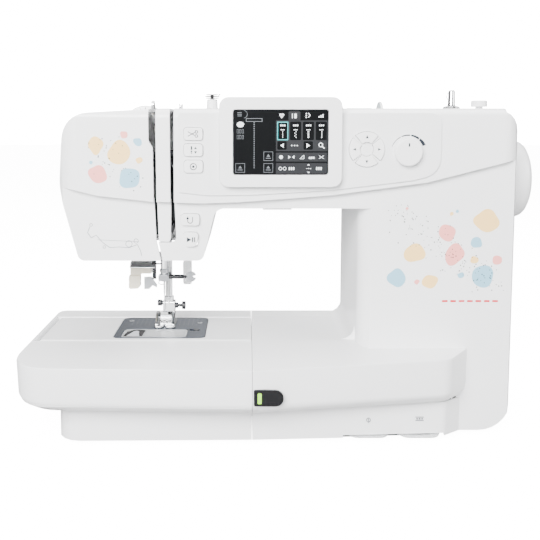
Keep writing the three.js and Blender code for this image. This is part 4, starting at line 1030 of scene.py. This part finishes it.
def build_plate_details():
    """The lines and screws of the needle plate, the bobbin cover's print and the top's small parts."""
    top = PLATE_TOP
    lines = [rectangle(x - 0.14, x + 0.14, 24, 49) for x in (-137, -133, -129, -125, -121, -117)]
    lines += [rectangle(x - 0.14, x + 0.14, 24, 49) for x in (-93, -89, -85, -81, -77, -73)]
    lines += [rectangle(-112 + 2.5 * k, -111.7 + 2.5 * k, 44, 48) for k in range(6)]
    mark("seam_lines", "needle_plate", lines, top, PALE_INK, "z", 0.05)
    for i, (x, y) in enumerate([(-139.5, 40), (-74.5, 33)]):
        screw(f"plate_screw_{i}", "needle_plate", "z", (x, y), top - 0.4, 1.0, 2.4)
    window = [(-139.6, -12.6), (-122.6, -12.6), (-122, 8), (-127, 9.4), (-133, 8.6), (-138, 3)]
    mark("bobbin_window", "bobbin_cover", [window], BOBBIN_COVER_TOP, GLOSS_BLACK, "z", 0.06)
    pointer = [(-136.6, -11.4), (-125.4, -11.4), (-127.6, 3.4), (-129.6, 5.2), (-132, 3.4)]
    mark("bobbin_pointer", "bobbin_cover", [pointer], BOBBIN_COVER_TOP, RIM, "z", 0.12)
    edge = [stroke(-121.4, -12.4, -121.4, 8.6, 0.3), stroke(-121.4, 8.6, -86.4, 8.6, 0.3)]
    edge += [stroke(-86.4, 8.6, -86.4, -12.4, 0.3), stroke(-86.4, -12.4, -121.4, -12.4, 0.3)]
    edge.append(arc_band(*HOOK_AT, 6.6, 7, 30, 200))
    mark("bobbin_thread_lines", "bobbin_cover", edge, BOBBIN_COVER_TOP, PALE_INK, "z", 0.06)
    extra_lathe("top_thread_stud", "front_cover", "x", (0, 277.2), [
        [0, -89.4], [2.2, -89.4], [2.5, -89], [2.5, -88.4], [1, -88.1], [1, -87.6], [2.5, -87.3],
        [2.5, -86.6], [2.2, -86.2], [0, -86.2]], CHROME, 40, 0.0)
    stem = rectangle(-88.4, -87.4, -0.8, 0.8)
    block("top_thread_stem", "front_cover", "z", stem, 274.2, 277.4, STEEL, 0.1)
    # The winder's slot is a dark patch on the column top: painted shade in the recess.
    slot = rectangle(139, 172, 23.9, 26.1, 1)
    mark("winder_slot_shade", "front_cover", [slot], COLUMN_TOP, DARK_PLASTIC_AND_SHADE, "z", 0.04)


# ---------------- the stage


CAMERA_AT = (-0.0304, -0.6768, 0.2638)
CAMERA_PITCH = 5.74  # degrees down
CAMERA_LENS = 51.5
CAMERA_SHIFT = (0.0428, -0.13)
WORLD_GLOW = 0.36
BACKDROP_GLOW = 24.0  # seen by the camera only
LIGHTS = [  # name, place and target in metres, width and height, watts
    ("key_light", (-0.7, -1.7, 1.05), (0, 0, 0.16), (1.3, 1.0), 165.0),
    ("fill_light", (1.7, -0.8, 0.8), (0, 0, 0.15), (1.0, 1.0), 26.0),
    ("top_light", (0.1, 0.2, 1.9), (0, 0, 0.2), (1.6, 1.0), 58.0),
    ("back_light", (0.3, 1.6, 1.1), (0, 0, 0.2), (1.6, 0.9), 14.0),
]


def build_camera():
    """The camera stands near the photo's viewpoint, a little above it and looking down."""
    camera_data = bpy.data.cameras.new("camera")
    camera = bpy.data.objects.new("camera", camera_data)
    bpy.context.scene.collection.objects.link(camera)
    camera.location = CAMERA_AT
    camera.rotation_euler = (math.radians(90.0) - math.radians(CAMERA_PITCH), 0.0, 0.0)
    camera_data.lens = CAMERA_LENS
    camera_data.sensor_width = 36.0
    camera_data.shift_x, camera_data.shift_y = CAMERA_SHIFT
    bpy.context.scene.camera = camera


def area_light(name, place, target, size, power):
    """A rectangular light that faces its target."""
    light_data = bpy.data.lights.new(name, "AREA")
    light_data.shape = "RECTANGLE"
    light_data.size, light_data.size_y = size
    light_data.energy = power
    light = bpy.data.objects.new(name, light_data)
    light.location = place
    light.rotation_euler = (Vector(target) - Vector(place)).to_track_quat("-Z", "Y").to_euler()
    bpy.context.scene.collection.objects.link(light)


def build_light():
    """Four area lights, a dim world, and a white backdrop that only the camera sees."""
    for row in LIGHTS:
        area_light(*row)
    world = bpy.data.worlds.new("studio")
    world.use_nodes = True
    nodes, links = world.node_tree.nodes, world.node_tree.links
    glow = nodes["Background"]
    glow.inputs["Color"].default_value = (1.0, 1.0, 1.0, 1.0)
    glow.inputs["Strength"].default_value = WORLD_GLOW
    backdrop = nodes.new("ShaderNodeBackground")
    backdrop.inputs["Color"].default_value = (1.0, 1.0, 1.0, 1.0)
    backdrop.inputs["Strength"].default_value = BACKDROP_GLOW
    ray = nodes.new("ShaderNodeLightPath")
    choose = nodes.new("ShaderNodeMixShader")
    links.new(ray.outputs["Is Camera Ray"], choose.inputs[0])
    links.new(glow.outputs["Background"], choose.inputs[1])
    links.new(backdrop.outputs["Background"], choose.inputs[2])
    links.new(choose.outputs["Shader"], nodes["World Output"].inputs["Surface"])
    bpy.context.scene.world = world


FLOOR_RADIUS = 9.0
FLOOR_DROP = 0.0002  # keeps the floor just clear of the feet


def build_floor():
    """A round pale floor, wide enough to fill the lower part of the view."""
    builder = bmesh.new()
    bmesh.ops.create_circle(builder, cap_ends=True, radius=FLOOR_RADIUS, segments=96)
    bmesh.ops.translate(builder, verts=builder.verts, vec=(0.0, 0.0, -FLOOR_DROP))
    mesh = bpy.data.meshes.new("floor")
    builder.to_mesh(mesh)
    builder.free()
    mesh.materials.append(FLOOR)
    floor = bpy.data.objects.new("floor", mesh)
    bpy.context.scene.collection.objects.link(floor)


build_camera()
build_light()
build_floor()
build_covers()
build_small_nodes()
build_wheel_and_dials()
build_spool()
build_top_fittings()
build_feet()
build_hook_and_shafts()
build_needle_and_bar()
build_threader()
build_presser()
build_rear_details()
build_button_marks()
build_dial_marks()
build_display()
build_prints()
build_plate_details()
for node, thing in NODES.items():
    thing.data.materials.clear()
    thing.data.materials.append(LOOK_OF[SLOT_OF[node]])
